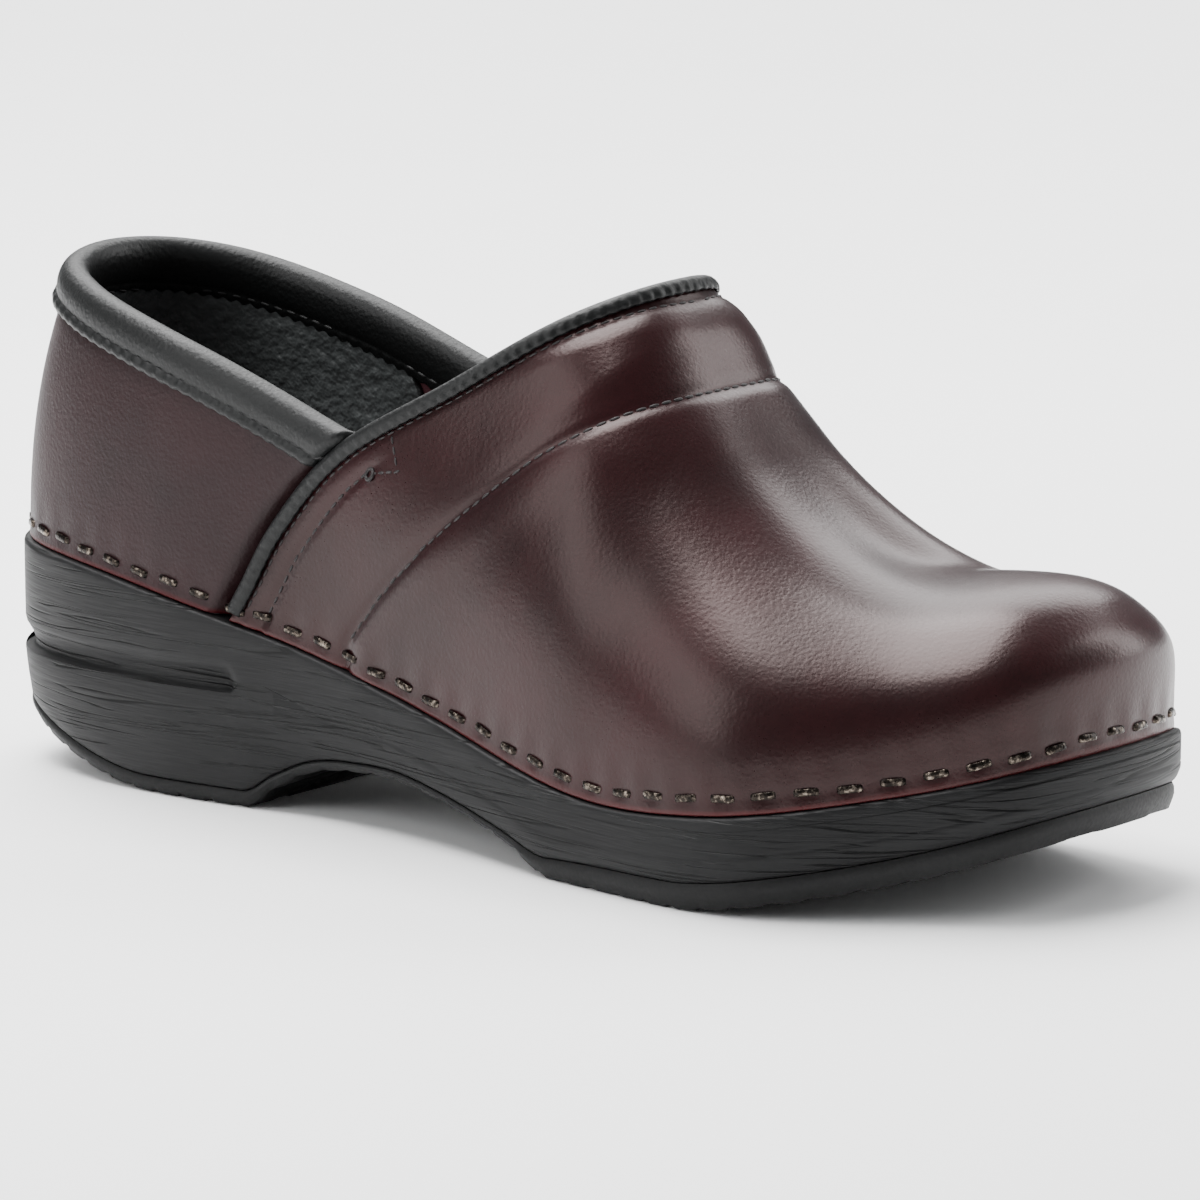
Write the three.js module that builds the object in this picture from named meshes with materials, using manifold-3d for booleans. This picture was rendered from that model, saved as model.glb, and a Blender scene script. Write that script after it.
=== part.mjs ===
// A closed-back clog for the right foot: a moulded sole with a leather upper stapled round its frame.
// Frame: millimetres, +Z up, +X towards the toe, +Y towards the inner (big toe) side of the foot.
// The origin is on the floor, under the middle of the overall box.
import * as THREE from "three";
import { mergeVertices } from "three/addons/utils/BufferGeometryUtils.js";
import Module from "manifold-3d";

const wasm = await Module();
wasm.setup();

// ---- Driving dimensions: the sole ----
const soleLength = 268;
const toeOuter = 38; // from the centreline to the sole's edge: toe, ball, waist and heel
const toeInner = 41;
const ballOuter = 54;
const ballInner = 44;
const waistOuter = 43;
const waistInner = 35;
const heelOuter = 38;
const heelInner = 33;
const tipShift = 7; // the toe's tip lies this far to the inner side
const backShift = -1; // and the back of the heel this far to the outer side

const heelHeight = 48; // floor to ledge at the back of the heel
const ballHeight = 18; // floor to ledge under the ball
const toeHeight = 31; // floor to ledge at the toe's tip
const archRise = 11.5; // floor to underside at the top of the arch
const toeSpring = 15; // floor to underside at the toe's tip
const heelSpring = 13; // floor to underside at the heel's back edge

const treadHeel = 3.5; // thickness of the outsole under the heel, the arch, the ball and the toe
const treadArch = 2.4;
const treadBall = 4.5;
const treadToe = 5.5;
const grooveLow = 24; // the heel groove's lower edge, its height and its depth
const grooveHeight = 5.5;
const grooveDepth = 2.2;
const recess = 3; // how deep the frame's foot sits in the sole

// ---- Driving dimensions: the upper ----
const toeBoxHeight = 61.5; // floor to the top of the toe box
const instepHeight = 112; // floor to the vamp's top edge on the centreline
const collarHeight = 106.5; // floor to the quarter's top edge at the back of the heel
const innerRise = 1.2; // the inner side's topline is this much higher
const ledge = 1.5; // the sole stands this far outside the leather
const bulge = 1.5; // the leather swells this far past the ledge line just above it
const leather = 1.8;
const flange = 1.6; // the quarter's thickness, skived to tuck under the vamp
const overlap = 15; // how far the quarter reaches forward under the vamp
const puffThick = 1.2;
const counterThick = 1.5;
const padThick = 3;
const liningThick = 1;
const collarDrop = 10.5; // how far the collar reaches below the quarter's top edge
const bindingThick = 0.9;
const bindingWidth = 4.8;
const threadWide = 0.7;
const threadClear = 0.45; // between the leather and a thread or a staple's crown on it
const gap = 0.3; // between pieces that touch
const bindingClear = 0.5; // between the binding and the vamp's edge inside it
const frameClear = 0.6; // between the leather and the frame
const duckStart = 15; // the quarter begins to go under the vamp this far behind the vamp's edge
const duckRun = 8; // and is fully under it this much further on
const tuckBehind = 28; // the frame makes room from here behind the edge's foot, growing over a run
const tuckBehindRun = 12;
const tuckAhead = 18; // to here ahead of the quarter's front edge, fading over a run
const tuckAheadRun = 10;

// ---- Driving dimensions: the parts inside and the staples ----
const frameWall = 4;
const frameRise = 7.5; // the frame's top edge above the ledge
const frameFoot = 12; // the width of its flange
const boardThick = 2;
const footbedThick = 4;
const sockThick = 1.2;
const dish = 1; // the footbed's rim stands this much above its middle
const stapleCount = 76; // all round; every second one is a piece here
const stapleRise = 3.5; // staple line above the ledge
const crownLong = 5.2;
const wireTall = 1.4;
const wireThick = 0.8;
const bite = 2; // how deep the legs enter the frame
const slotSpare = 1; // and how much deeper the frame's slot goes
// The binding and the seams begin this far above the ledge, clear of the staples below them.
const edgeStart = stapleRise + wireTall / 2 + gap + bindingWidth / 2;

// ---- Curves ----
// A smooth curve through [x, y] points given in rising x, held level past its ends.
function curve(points) {
  const slope = (i) => {
    const a = points[Math.max(i - 1, 0)];
    const b = points[Math.min(i + 1, points.length - 1)];
    return (b[1] - a[1]) / (b[0] - a[0]);
  };
  return (x) => {
    if (x <= points[0][0]) return points[0][1];
    const end = points.length - 1;
    if (x >= points[end][0]) return points[end][1];
    let i = 0;
    while (x > points[i + 1][0]) i += 1;
    const [x0, y0] = points[i];
    const [x1, y1] = points[i + 1];
    const width = x1 - x0;
    const t = (x - x0) / width;
    const t2 = t * t;
    const t3 = t2 * t;
    return (
      y0 * (2 * t3 - 3 * t2 + 1) +
      slope(i) * width * (t3 - 2 * t2 + t) +
      y1 * (3 * t2 - 2 * t3) +
      slope(i + 1) * width * (t3 - t2)
    );
  };
}
// The same points in shares of two sizes.
const scaled = (sizeX, sizeY, points) => curve(points.map(([x, y]) => [x * sizeX, y * sizeY]));
const smooth = (t) => {
  const c = Math.min(1, Math.max(0, t));
  return c * c * (3 - 2 * c);
};
const range = (n) => Array.from({ length: n + 1 }, (_, i) => i / n);
const mix = (a, b, t) => a + (b - a) * t;
// Halves an interval until test changes from true to false at its low end.
function solve(low, high, test) {
  for (let i = 0; i < 36; i += 1) {
    const middle = (low + high) / 2;
    if (test(middle)) low = middle;
    else high = middle;
  }
  return low;
}

// ---- The sole's outline ----
// A station s runs round the sole: 0 at the toe's tip, 1 and -1 at the back of the heel,
// negative along the outer side and positive along the inner side.
const half = soleLength / 2;
const stationX = (s) => half * Math.cos(Math.PI * s);
const outlineCurve = curve([
  [-1.1, 0.6 * heelInner],
  [-1, backShift],
  [-0.9, -0.6 * heelOuter],
  [-0.8, -0.89 * heelOuter],
  [-0.7, -heelOuter],
  [-0.6, -0.86 * waistOuter],
  [-0.5, -waistOuter],
  [-0.4, -0.95 * ballOuter],
  [-0.3, -ballOuter],
  [-0.2, -toeOuter],
  [-0.1, -0.6 * toeOuter],
  [0, tipShift],
  [0.1, 0.8 * toeInner],
  [0.2, toeInner],
  [0.3, ballInner],
  [0.4, 0.96 * ballInner],
  [0.5, waistInner],
  [0.6, 0.9 * waistInner],
  [0.7, 0.98 * heelInner],
  [0.8, 0.93 * heelInner],
  [0.9, 0.6 * heelInner],
  [1, backShift],
  [1.1, -0.6 * heelOuter],
]);
// The outline in plan at a station, moved inwards by inset.
function outline(s, inset = 0) {
  const step = 1e-3;
  const tx = stationX(s + step) - stationX(s - step);
  const ty = outlineCurve(s + step) - outlineCurve(s - step);
  const long = Math.hypot(tx, ty);
  return [stationX(s) - (inset * ty) / long, outlineCurve(s) + (inset * tx) / long];
}

const ledgeZ = curve([
  [-half, heelHeight],
  [-0.72 * half, 0.94 * heelHeight],
  [-0.4 * half, 0.78 * heelHeight],
  [-0.08 * half, 0.6 * heelHeight],
  [0.3 * half, ballHeight],
  [0.55 * half, ballHeight + 1],
  [0.8 * half, mix(ballHeight, toeHeight, 0.48)],
  [half, toeHeight],
]);
const heelBreast = -0.42 * half;
const ballStart = 0.24 * half;
const underside = curve([
  [-half, heelSpring],
  [-0.95 * half, 0.83 * heelSpring],
  [-0.81 * half, 0.38 * heelSpring],
  [-0.7 * half, 0.1 * heelSpring],
  [-0.62 * half, 0],
  [heelBreast, 0],
  [heelBreast + 0.06 * half, 0.45 * archRise],
  [heelBreast + 0.13 * half, 0.83 * archRise],
  [heelBreast + 0.22 * half, archRise],
  [-0.07 * half, archRise],
  [ballStart - 0.1 * half, 0.45 * archRise],
  [ballStart, 0],
  [0.5 * half, 0],
  [0.62 * half, 0.12 * toeSpring],
  [0.8 * half, 0.45 * toeSpring],
  [half, toeSpring],
]);
const floorZ = (x) => Math.max(0, underside(x));
const treadThick = curve([
  [heelBreast, treadHeel],
  [heelBreast + 0.1 * half, treadArch],
  [ballStart - 0.1 * half, treadArch],
  [ballStart + 0.02 * half, treadBall],
  [0.55 * half, treadToe],
]);

// ---- The last: the surface that the upper's leather is pulled over ----
const ridgeToe = 0.77 * half;
const ridgeHeel = -0.66 * half;
const ridgeX = (a) => mix(ridgeToe, ridgeHeel, (1 - Math.cos(Math.PI * a)) / 2);
const throatX = 0.23 * half;
const above = (share) => mix(toeBoxHeight, instepHeight, share);
const ridgeZ = curve([
  [ridgeHeel, 1.3 * collarHeight],
  [-0.3 * half, 1.56 * collarHeight],
  [0, above(1.47)],
  [throatX, instepHeight],
  [0.33 * half, above(0.62)],
  [0.43 * half, above(0.32)],
  [0.54 * half, above(0.09)],
  [0.64 * half, above(-0.02)],
  [ridgeToe, toeBoxHeight],
]);
const ridgeY = curve([
  [ridgeHeel, -2],
  [0, -1],
  [ridgeToe, tipShift],
]);
// How square the cross-section is: 2 is an ellipse, more is boxier.
const fullness = curve([
  [-1, 1.9],
  [-0.5, 2.1],
  [-0.3, 2.1],
  [-0.15, 2.8],
  [0, 3.6],
  [0.15, 2.6],
  [0.3, 1.95],
  [0.5, 1.9],
  [1, 1.9],
]);
// A point of the last at a station, v = 0 just above the ledge and v = 1 on the ridge.
function last(s, v) {
  const full = mix(0.2, 1, smooth((1 - Math.abs(s)) / 0.4));
  const swell = bulge * full * Math.sin(Math.PI * Math.min(1, 1.8 * v)) ** 2;
  const [x0, y0] = outline(s, ledge - swell);
  const z0 = ledgeZ(outline(s, ledge)[0]) + gap;
  const x1 = ridgeX(Math.abs(s));
  const phi = (v * Math.PI) / 2;
  const power = 2 / fullness(s);
  const across = 1 - Math.cos(phi) ** power;
  const up = Math.sin(phi) ** power;
  return new THREE.Vector3(mix(x0, x1, across), mix(y0, ridgeY(x1), across), mix(z0, ridgeZ(x1), up));
}
function normalAt(s, v) {
  const step = 2e-3;
  const along = last(s + step, v).sub(last(s - step, v));
  const rise = last(s, Math.min(1, v + step)).sub(last(s, Math.max(0, v - step)));
  return along.cross(rise).normalize();
}

// ---- Lines on the upper, as seen from the side: how far forward each lies at a height ----
const edgeX = scaled(instepHeight, half, [
  [0.304, -0.465],
  [0.4, -0.415],
  [0.536, -0.343],
  [0.688, -0.216],
  [0.821, -0.019],
  [0.938, 0.137],
  [1, throatX / half],
]);
const bandX = scaled(instepHeight, half, [
  [0.343, -0.205],
  [0.442, -0.13],
  [0.56, -0.02],
  [0.657, 0.085],
  [0.747, 0.185],
  [0.805, 0.27],
  [0.843, 0.345],
]);
const ahead = (p) => p.x - edgeX(p.z);
// The station on row v, on one side, where the test stops holding on the way back from the toe.
const stationOn = (v, side, test) => solve(0.05, 0.95, (a) => test(last(side * a, v)));
const edgeStation = (v, side) => stationOn(v, side, (p) => ahead(p) > 0);
const bandStation = (v, side) => stationOn(v, side, (p) => p.x > bandX(p.z));
// The station this far forward of the vamp's edge, measured along x on the same row.
const besideEdge = (shift) => (v, side) => {
  const start = last(side * edgeStation(v, side), v).x;
  return stationOn(v, side, (p) => p.x > start + shift);
};
const topline = scaled(half, collarHeight, [
  [-1, 1],
  [-0.78, 0.943],
  [-0.52, 0.859],
  [-0.2, 0.723],
  [0, 0.684],
]);
function toplineRow(s) {
  const raise = s > 0 ? innerRise * smooth((1 - s) / 0.2) : 0;
  return solve(0, 1, (v) => {
    const p = last(s, v);
    return p.z < topline(p.x) + raise;
  });
}
// The row that lies a height above the ledge at a station.
const rowAbove = (s, rise) =>
  solve(0, 0.6, (v) => {
    const p = last(s, v);
    return p.z < ledgeZ(p.x) + rise;
  });

// Under the vamp the quarter lies deeper, with room for the binding's inner leg.
const duckDepth = leather + bindingThick + bindingClear + 2 * gap;
const duck = (p) => duckDepth * smooth((ahead(p) + duckStart) / duckRun);
// The frame stands one leather inside the last, and deeper where the quarter is tucked in.
const edgeFoot = edgeX(0);
const tuckIn = (x) => smooth((x - edgeFoot + tuckBehind) / tuckBehindRun);
const tuckOut = (x) => smooth((edgeFoot + overlap + tuckAhead - x) / tuckAheadRun);
const tucked = (x) => tuckIn(x) * tuckOut(x);
const frameDepth = (x) => mix(leather, duckDepth + flange, tucked(x)) + frameClear;

// ---- Closed solids ----
// A geometry from points and index faces, turned outside out if it isn't.
function solid(points, faces) {
  const kept = faces.filter((f) => new Set(f).size === 3);
  const corner = ([a, b, c]) => points[a].dot(points[b].clone().cross(points[c]));
  const volume = kept.reduce((sum, face) => sum + corner(face), 0);
  const turned = volume < 0 ? kept.map((f) => [...f].reverse()) : kept;
  const geometry = new THREE.BufferGeometry();
  const numbers = points.flatMap((p) => [p.x, p.y, p.z]);
  geometry.setAttribute("position", new THREE.Float32BufferAttribute(numbers, 3));
  geometry.setIndex(turned.flat());
  return mergeVertices(geometry, 1e-3);
}
// A wall from a grid of { s, v } spots on the last: outer and inner give its faces' depths.
// Spots that coincide, as both sides do on the ridge, share one point and one normal.
function wall(grid, outer, inner) {
  const rows = grid[0].length;
  const places = new Map();
  const index = grid.flat().map((spot) => {
    const { s, v } = spot;
    const p = last(s, v);
    const key = [p.x, p.y, p.z].map((n) => n.toFixed(3)).join();
    if (!places.has(key)) places.set(key, { i: places.size, p, n: new THREE.Vector3(), spot });
    const place = places.get(key);
    place.n.add(normalAt(s, v));
    return place.i;
  });
  const count = places.size;
  const points = [outer, inner].flatMap((depth) =>
    [...places.values()].map(({ p, n, spot }) =>
      p.clone().addScaledVector(n.clone().normalize(), -depth(p, spot)),
    ),
  );
  const front = [];
  for (let i = 0; i + 1 < grid.length; i += 1) {
    for (let j = 0; j + 1 < rows; j += 1) {
      const [a, b, c, d] = [i * rows + j, (i + 1) * rows + j, (i + 1) * rows + j + 1, i * rows + j + 1];
      for (const face of [[a, b, c], [a, c, d]]) front.push(face.map((k) => index[k]));
    }
  }
  const faces = front.filter((f) => new Set(f).size === 3);
  const edges = new Map();
  for (const [a, b, c] of faces) {
    for (const [p, q] of [[a, b], [b, c], [c, a]]) {
      if (edges.has(`${q},${p}`)) edges.delete(`${q},${p}`);
      else edges.set(`${p},${q}`, [p, q]);
    }
  }
  const closed = [...faces, ...faces.map(([a, b, c]) => [c + count, b + count, a + count])];
  for (const [p, q] of edges.values()) {
    closed.push([q, p, p + count]);
    closed.push([q, p + count, q + count]);
  }
  return solid(points, closed);
}
// Stations for everything that follows the sole, closer together at the heel's breast.
const stations = [...range(36), 0.597, 0.624, 0.651].sort((a, b) => a - b);
const loop = [...stations.map((a) => -a), ...stations.slice(1, -1).reverse()];
const size = loop.length;
const across = (i) => (size - i) % size;
// Joins rings of points round the sole, one above another.
function bandFaces(rings) {
  const faces = [];
  for (let k = 0; k < rings; k += 1) {
    for (let i = 0; i < size; i += 1) {
      const a = k * size + i;
      const b = k * size + ((i + 1) % size);
      faces.push([b, a, a + size]);
      faces.push([b, a + size, b + size]);
    }
  }
  return faces;
}
// A solid plate: rings joined upwards, its bottom and top closed by strips from side to side.
function stack(rings) {
  const points = rings.flatMap((ring) => loop.map(ring));
  const faces = bandFaces(rings.length - 1);
  const cap = (start, flip) => {
    for (let i = 0; i + 1 < stations.length; i += 1) {
      const [a, b, c, d] = [i, i + 1, across(i + 1), across(i)].map((n) => start + n);
      for (const face of [[a, b, c], [a, c, d]]) faces.push(flip ? face.reverse() : face);
    }
  };
  cap(0, false);
  cap((rings.length - 1) * size, true);
  return solid(points, faces);
}
// A hoop: rings joined one to the next, and the last back to the first.
function hoop(rings) {
  const points = rings.flatMap((ring) => loop.map(ring));
  const total = points.length;
  return solid(points, bandFaces(rings.length).map((f) => f.map((i) => i % total)));
}
// A ring at an inset and a height, each a number or a function of x along the sole.
const value = (rule, x) => (typeof rule === "function" ? rule(x) : rule);
const ring = (inset, height) => (s) => {
  const [x, y] = outline(s, value(inset, stationX(s)));
  return new THREE.Vector3(x, y, value(height, x));
};
const raised = (rise) => (x) => ledgeZ(x) + rise;
// A closed section [a, b] carried along frames { p, a, b }, ends capped.
function sweep(frames, section) {
  const count = section.length;
  const points = frames.flatMap((f) =>
    section.map(([a, b]) => f.p.clone().addScaledVector(f.a, a).addScaledVector(f.b, b)),
  );
  const faces = [];
  for (let k = 0; k + 1 < frames.length; k += 1) {
    for (let i = 0; i < count; i += 1) {
      const a = k * count + i;
      const b = k * count + ((i + 1) % count);
      faces.push([a, b, b + count]);
      faces.push([a, b + count, a + count]);
    }
  }
  const flat = section.map(([a, b]) => new THREE.Vector2(a, b));
  const turn = THREE.ShapeUtils.area(flat) > 0 ? 1 : -1;
  const lid = THREE.ShapeUtils.triangulateShape(flat, []);
  const end = (frames.length - 1) * count;
  for (const [a, b, c] of lid) {
    faces.push(turn > 0 ? [c, b, a] : [a, b, c]);
    faces.push(turn > 0 ? [a + end, b + end, c + end] : [c + end, b + end, a + end]);
  }
  return solid(points, faces);
}
const round = (a, b, radius, sides) =>
  range(sides).slice(0, sides).map((t) => {
    const angle = 2 * Math.PI * t;
    return [a + radius * Math.cos(angle), b + radius * Math.sin(angle)];
  });
// Frames along a line of { s, v } places: a is the leather's normal, b lies on the leather
// square to the line. The line's points are moved in by depth first.
function framesAlong(spots, depth = () => 0) {
  const points = spots.map(({ s, v }) => {
    const p = last(s, v);
    return p.clone().addScaledVector(normalAt(s, v), -depth(p));
  });
  return points.map((p, i) => {
    const before = points[Math.max(i - 1, 0)];
    const after = points[Math.min(i + 1, points.length - 1)];
    const tangent = after.clone().sub(before).normalize();
    const a = normalAt(spots[i].s, spots[i].v);
    const b = tangent.clone().cross(a).normalize();
    return { p, a: b.clone().cross(tangent).normalize(), b };
  });
}

// ---- Booleans ----
function toSolid(geometry) {
  const bare = new THREE.BufferGeometry();
  bare.setAttribute("position", geometry.getAttribute("position"));
  bare.setIndex(geometry.getIndex());
  const merged = mergeVertices(bare, 1e-4);
  return new wasm.Manifold(
    new wasm.Mesh({
      numProp: 3,
      vertProperties: new Float32Array(merged.getAttribute("position").array),
      triVerts: new Uint32Array(merged.getIndex().array),
    }),
  );
}
function toGeometry(body) {
  const mesh = body.getMesh();
  const geometry = new THREE.BufferGeometry();
  geometry.setAttribute("position", new THREE.BufferAttribute(mesh.vertProperties, 3));
  geometry.setIndex(new THREE.BufferAttribute(mesh.triVerts, 1));
  return geometry;
}
function cut(geometry, cutters) {
  const body = cutters.reduce((rest, cutter) => rest.subtract(toSolid(cutter)), toSolid(geometry));
  return toGeometry(body);
}

const group = new THREE.Group();
function add(name, geometry, color, roughness, metalness = 0) {
  const mesh = new THREE.Mesh(geometry, new THREE.MeshStandardMaterial({ color, roughness, metalness }));
  mesh.name = name;
  group.add(mesh);
}
const soleBlack = 0x262524;
const burgundy = 0x3f1a1f;
const collarBlack = 0x17151a;
const threadColour = 0x241416;
const wireColour = 0x4a3a30;

// ---- Sole ----
const groove = (share) => (x) => grooveDepth * share * smooth((heelBreast - x) / (0.03 * half));
const grooveTop = grooveLow + grooveHeight;
const grooveFade = heelBreast + 14; // the groove's edges stay level up to here
const soleFoot = (x) => floorZ(x) + treadThick(x) + gap;
// Heights between the sole's foot and its ledge, where the groove's edges are level at the heel.
const level = (height, share) => (x) =>
  mix(mix(soleFoot(x), ledgeZ(x), share), height, smooth((grooveFade - x) / (0.2 * half)));
const rimWidth = (x) => ledge + frameDepth(x) - gap;
const footTuck = 1.8; // the sole's foot stands this far inside its widest line
const rimRound = 0.6; // the ledge's outer edge is broken by this much
add(
  "sole_body",
  stack([
    ring(footTuck, soleFoot),
    ring(0.4, (x) => mix(soleFoot(x), ledgeZ(x), 0.12)),
    ring(0, level(grooveLow, 0.35)),
    ring(groove(1), level(grooveLow + 0.4, 0.4)),
    ring(groove(0.8), level(mix(grooveLow, grooveTop, 0.5), 0.5)),
    ring(0, level(grooveTop + 1, 0.65)),
    ring(0, raised(-0.8)),
    ring(rimRound, ledgeZ),
    ring(rimWidth, ledgeZ),
    ring(rimWidth, raised(-recess)),
  ]),
  soleBlack,
  0.55,
);
add(
  "tread",
  stack([
    ring(3, floorZ),
    ring(1.2, (x) => floorZ(x) + 0.4 * treadThick(x)),
    ring(1.6, (x) => floorZ(x) + treadThick(x)),
  ]),
  0x1c1b1b,
  0.7,
);

// ---- Frame, board, footbed and sock inside the sole's rim ----
const wallOut = (x) => ledge + frameDepth(x);
const wallIn = (x) => wallOut(x) + frameWall;
const footIn = (x) => wallOut(x) + frameFoot;
const slotIn = (x) => wallOut(x) + bite + slotSpare;
const slotHalf = wireTall / 2 + gap;
const footTop = gap;
add(
  "stability_frame",
  hoop([
    ring(wallOut, raised(gap - recess)),
    ring(wallOut, raised(stapleRise - slotHalf)),
    ring(slotIn, raised(stapleRise - slotHalf)),
    ring(slotIn, raised(stapleRise + slotHalf)),
    ring(wallOut, raised(stapleRise + slotHalf)),
    ring(wallOut, raised(frameRise)),
    ring(wallIn, raised(frameRise)),
    ring(wallIn, raised(footTop)),
    ring(footIn, raised(footTop)),
    ring(footIn, raised(gap - recess)),
  ]),
  0x2b2a2a,
  0.5,
);
const fillIn = (x) => footIn(x) + gap;
const bedIn = (x) => wallIn(x) + gap;
const boardLow = footTop + gap;
const boardTop = boardLow + boardThick;
add(
  "insole_board",
  stack([
    ring(fillIn, raised(gap - recess)),
    ring(fillIn, raised(boardLow)),
    ring(bedIn, raised(boardLow)),
    ring(bedIn, raised(boardTop)),
  ]),
  0x6b5a45,
  0.8,
);
const dishIn = (x) => bedIn(x) + 6;
const bedLow = boardTop + gap;
const bedTop = bedLow + footbedThick;
add(
  "footbed",
  stack([
    ring(bedIn, raised(bedLow)),
    ring(bedIn, raised(bedTop)),
    ring(dishIn, raised(bedTop - dish)),
  ]),
  0x2f2d2c,
  0.8,
);
const sockLow = bedTop + gap;
const sockTop = sockLow + sockThick;
add(
  "sock_liner",
  stack([
    ring(dishIn, raised(sockLow - dish)),
    ring(bedIn, raised(sockLow)),
    ring(bedIn, raised(sockTop)),
    ring(dishIn, raised(sockTop - dish)),
  ]),
  0x211f20,
  0.7,
);

// ---- Staple places: evenly spaced along the leather's foot ----
const rowPoint = (s) => last(s, rowAbove(s, stapleRise));
const samples = range(360).map((t) => mix(-1, 1, t));
const lengths = [0];
for (let i = 1; i < samples.length; i += 1) {
  lengths.push(lengths[i - 1] + rowPoint(samples[i]).distanceTo(rowPoint(samples[i - 1])));
}
function stationAtLength(target) {
  const i = Math.max(1, lengths.findIndex((n) => n >= target));
  const part = (target - lengths[i - 1]) / (lengths[i] - lengths[i - 1]);
  return mix(samples[i - 1], samples[i], part);
}
const staplePitch = lengths[lengths.length - 1] / stapleCount;
const staplePhase = 0.25;
const stapleStations = Array.from({ length: stapleCount / 2 }, (_, i) =>
  stationAtLength((2 * i + staplePhase) * staplePitch),
);
// A staple's own axes: along the row, out of the leather, and square to both. All follow the
// slope of the ledge, so that the legs stay level with the frame's slot.
function stapleFrame(s) {
  const v = rowAbove(s, stapleRise);
  const p = last(s, v);
  const normal = normalAt(s, v);
  const slope = (ledgeZ(p.x + 1) - ledgeZ(p.x - 1)) / 2;
  const out = new THREE.Vector3(normal.x, normal.y, slope * normal.x).normalize();
  const along = new THREE.Vector3(-normal.y, normal.x, -slope * normal.y);
  along.addScaledVector(out, -along.dot(out)).normalize();
  const ends = [-1, 1].map((side) => p.clone().addScaledVector(along, (side * crownLong) / 2));
  const skin = ahead(p) < 0 ? Math.min(...ends.map(duck)) : 0;
  const tip = Math.min(...ends.map((end) => frameDepth(end.x))) + bite;
  return { p, out, along, up: out.clone().cross(along), skin, tip };
}
const upright = (f, tall) =>
  [-0.5, 0.5].map((k) => ({ p: f.p.clone().addScaledVector(f.up, k * tall), a: f.along, b: f.out }));
function stapleSolid(f) {
  const wide = crownLong / 2;
  const inside = wide - wireThick;
  const low = threadClear - f.skin;
  const high = low + wireThick;
  const section = [
    [-wide, high], [-wide, -f.tip], [-inside, -f.tip], [-inside, low],
    [inside, low], [inside, -f.tip], [wide, -f.tip], [wide, high],
  ];
  return sweep(upright(f, wireTall), section);
}
const legHoles = stapleStations.map(stapleFrame).flatMap((f) =>
  [-1, 1].map((side) => {
    const middle = side * (crownLong / 2 - wireThick / 2);
    const wide = wireThick / 2 + gap;
    const section = [
      [middle - wide, 2], [middle - wide, -f.tip - gap],
      [middle + wide, -f.tip - gap], [middle + wide, 2],
    ];
    return sweep(upright(f, wireTall + 2 * gap), section);
  }),
);

// ---- Vamp, with its toe puff, instep pad and lining ----
const toeColumns = 11;
const toeReach = 0.33;
const sideColumns = 10;
const rows = range(10);
const none = () => 0;
const vampColumns = [
  ...range(toeColumns).map((t) => ({ t: t * toeReach, part: 0 })),
  ...range(sideColumns).slice(1).map((part) => ({ t: toeReach, part })),
];
const vampSpot = (side, column, v) => {
  const end = column.part > 0 ? edgeStation(v, side) : 0;
  return { s: side * mix(column.t, end, column.part), v };
};
const vampGrid = [
  ...[...vampColumns].reverse().map((c) => rows.map((v) => vampSpot(-1, c, v))),
  ...vampColumns.slice(1).map((c) => rows.map((v) => vampSpot(1, c, v))),
];
add("vamp", cut(wall(vampGrid, none, () => leather), legHoles), burgundy, 0.35);

const puffColumns = vampColumns.slice(0, 8);
const puffRows = rows.slice(2, 9);
const puffGrid = [
  ...puffColumns.slice(1).reverse().map((c) => puffRows.map((v) => vampSpot(-1, c, v))),
  ...puffColumns.map((c) => puffRows.map((v) => vampSpot(1, c, v))),
];
const under = leather + gap;
add("toe_puff", wall(puffGrid, () => under, () => under + puffThick), 0x8a7f70, 0.8);

// Lines across the instep, each from one side over the ridge to the other.
const instepRows = rows.slice(5);
const acrossInstep = (shift) => [
  ...instepRows.map((v) => ({ s: -besideEdge(shift)(v, -1), v, shift })),
  ...instepRows.slice(0, -1).reverse().map((v) => ({ s: besideEdge(shift)(v, 1), v, shift })),
];
// The pad and the lining lie across the instep between these distances from the vamp's edge.
const padStart = bindingWidth + 2.5;
const padEnd = 22;
const taper = 3;
const taperRun = 2 * taper;
const padMiddle = mix(padStart, padEnd, 0.5);
const swollen = ({ shift }) => {
  const rise = smooth((shift - padStart + taper) / taperRun);
  const fall = smooth((padEnd + taper - shift) / taperRun);
  return rise * fall;
};
const padOuter = under + gap;
add(
  "instep_pad",
  wall(
    [padStart, padMiddle, padEnd].map(acrossInstep),
    () => padOuter,
    (p, spot) => padOuter + mix(1, padThick, swollen(spot)),
  ),
  0x2a2728,
  0.9,
);
const liningFlat = leather + bindingThick + bindingClear + gap;
const liningOuter = (p, spot) => mix(liningFlat, padOuter + padThick + 2 * gap, swollen(spot));
add(
  "instep_lining",
  wall(
    [1.5, padStart - taper, padStart, padMiddle, padEnd, padEnd + taper + 1].map(acrossInstep),
    liningOuter,
    (p, spot) => liningOuter(p, spot) + liningThick,
  ),
  collarBlack,
  0.6,
);

// ---- Quarter and heel counter ----
// a = 0 at the back of the heel and 1 at the front edge under the vamp, r = 0 at the foot and
// 1 at the topline.
const frontEdge = besideEdge(overlap);
function quarterCorners(side) {
  const top = solve(0, 1, (v) => v < toplineRow(side * frontEdge(v, side)));
  return { foot: frontEdge(0, side), top: frontEdge(top, side) };
}
const corners = { "-1": quarterCorners(-1), 1: quarterCorners(1) };
function quarterSpot(side, a, r) {
  const { foot, top } = corners[side];
  const high = mix(1, top, a);
  const s = mix(mix(1, foot, a), high, r);
  return { s: side * s, v: toplineRow(side * high) * r };
}
const quarterColumns = [...range(8).map((t) => 0.6 * t), 0.66, 0.7, 0.74, 0.78, 0.82, 0.86, 0.9, 0.95, 1];
const quarterRows = [0, 0.22, 0.42, 0.62, 0.8, 0.92, 1];
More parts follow.
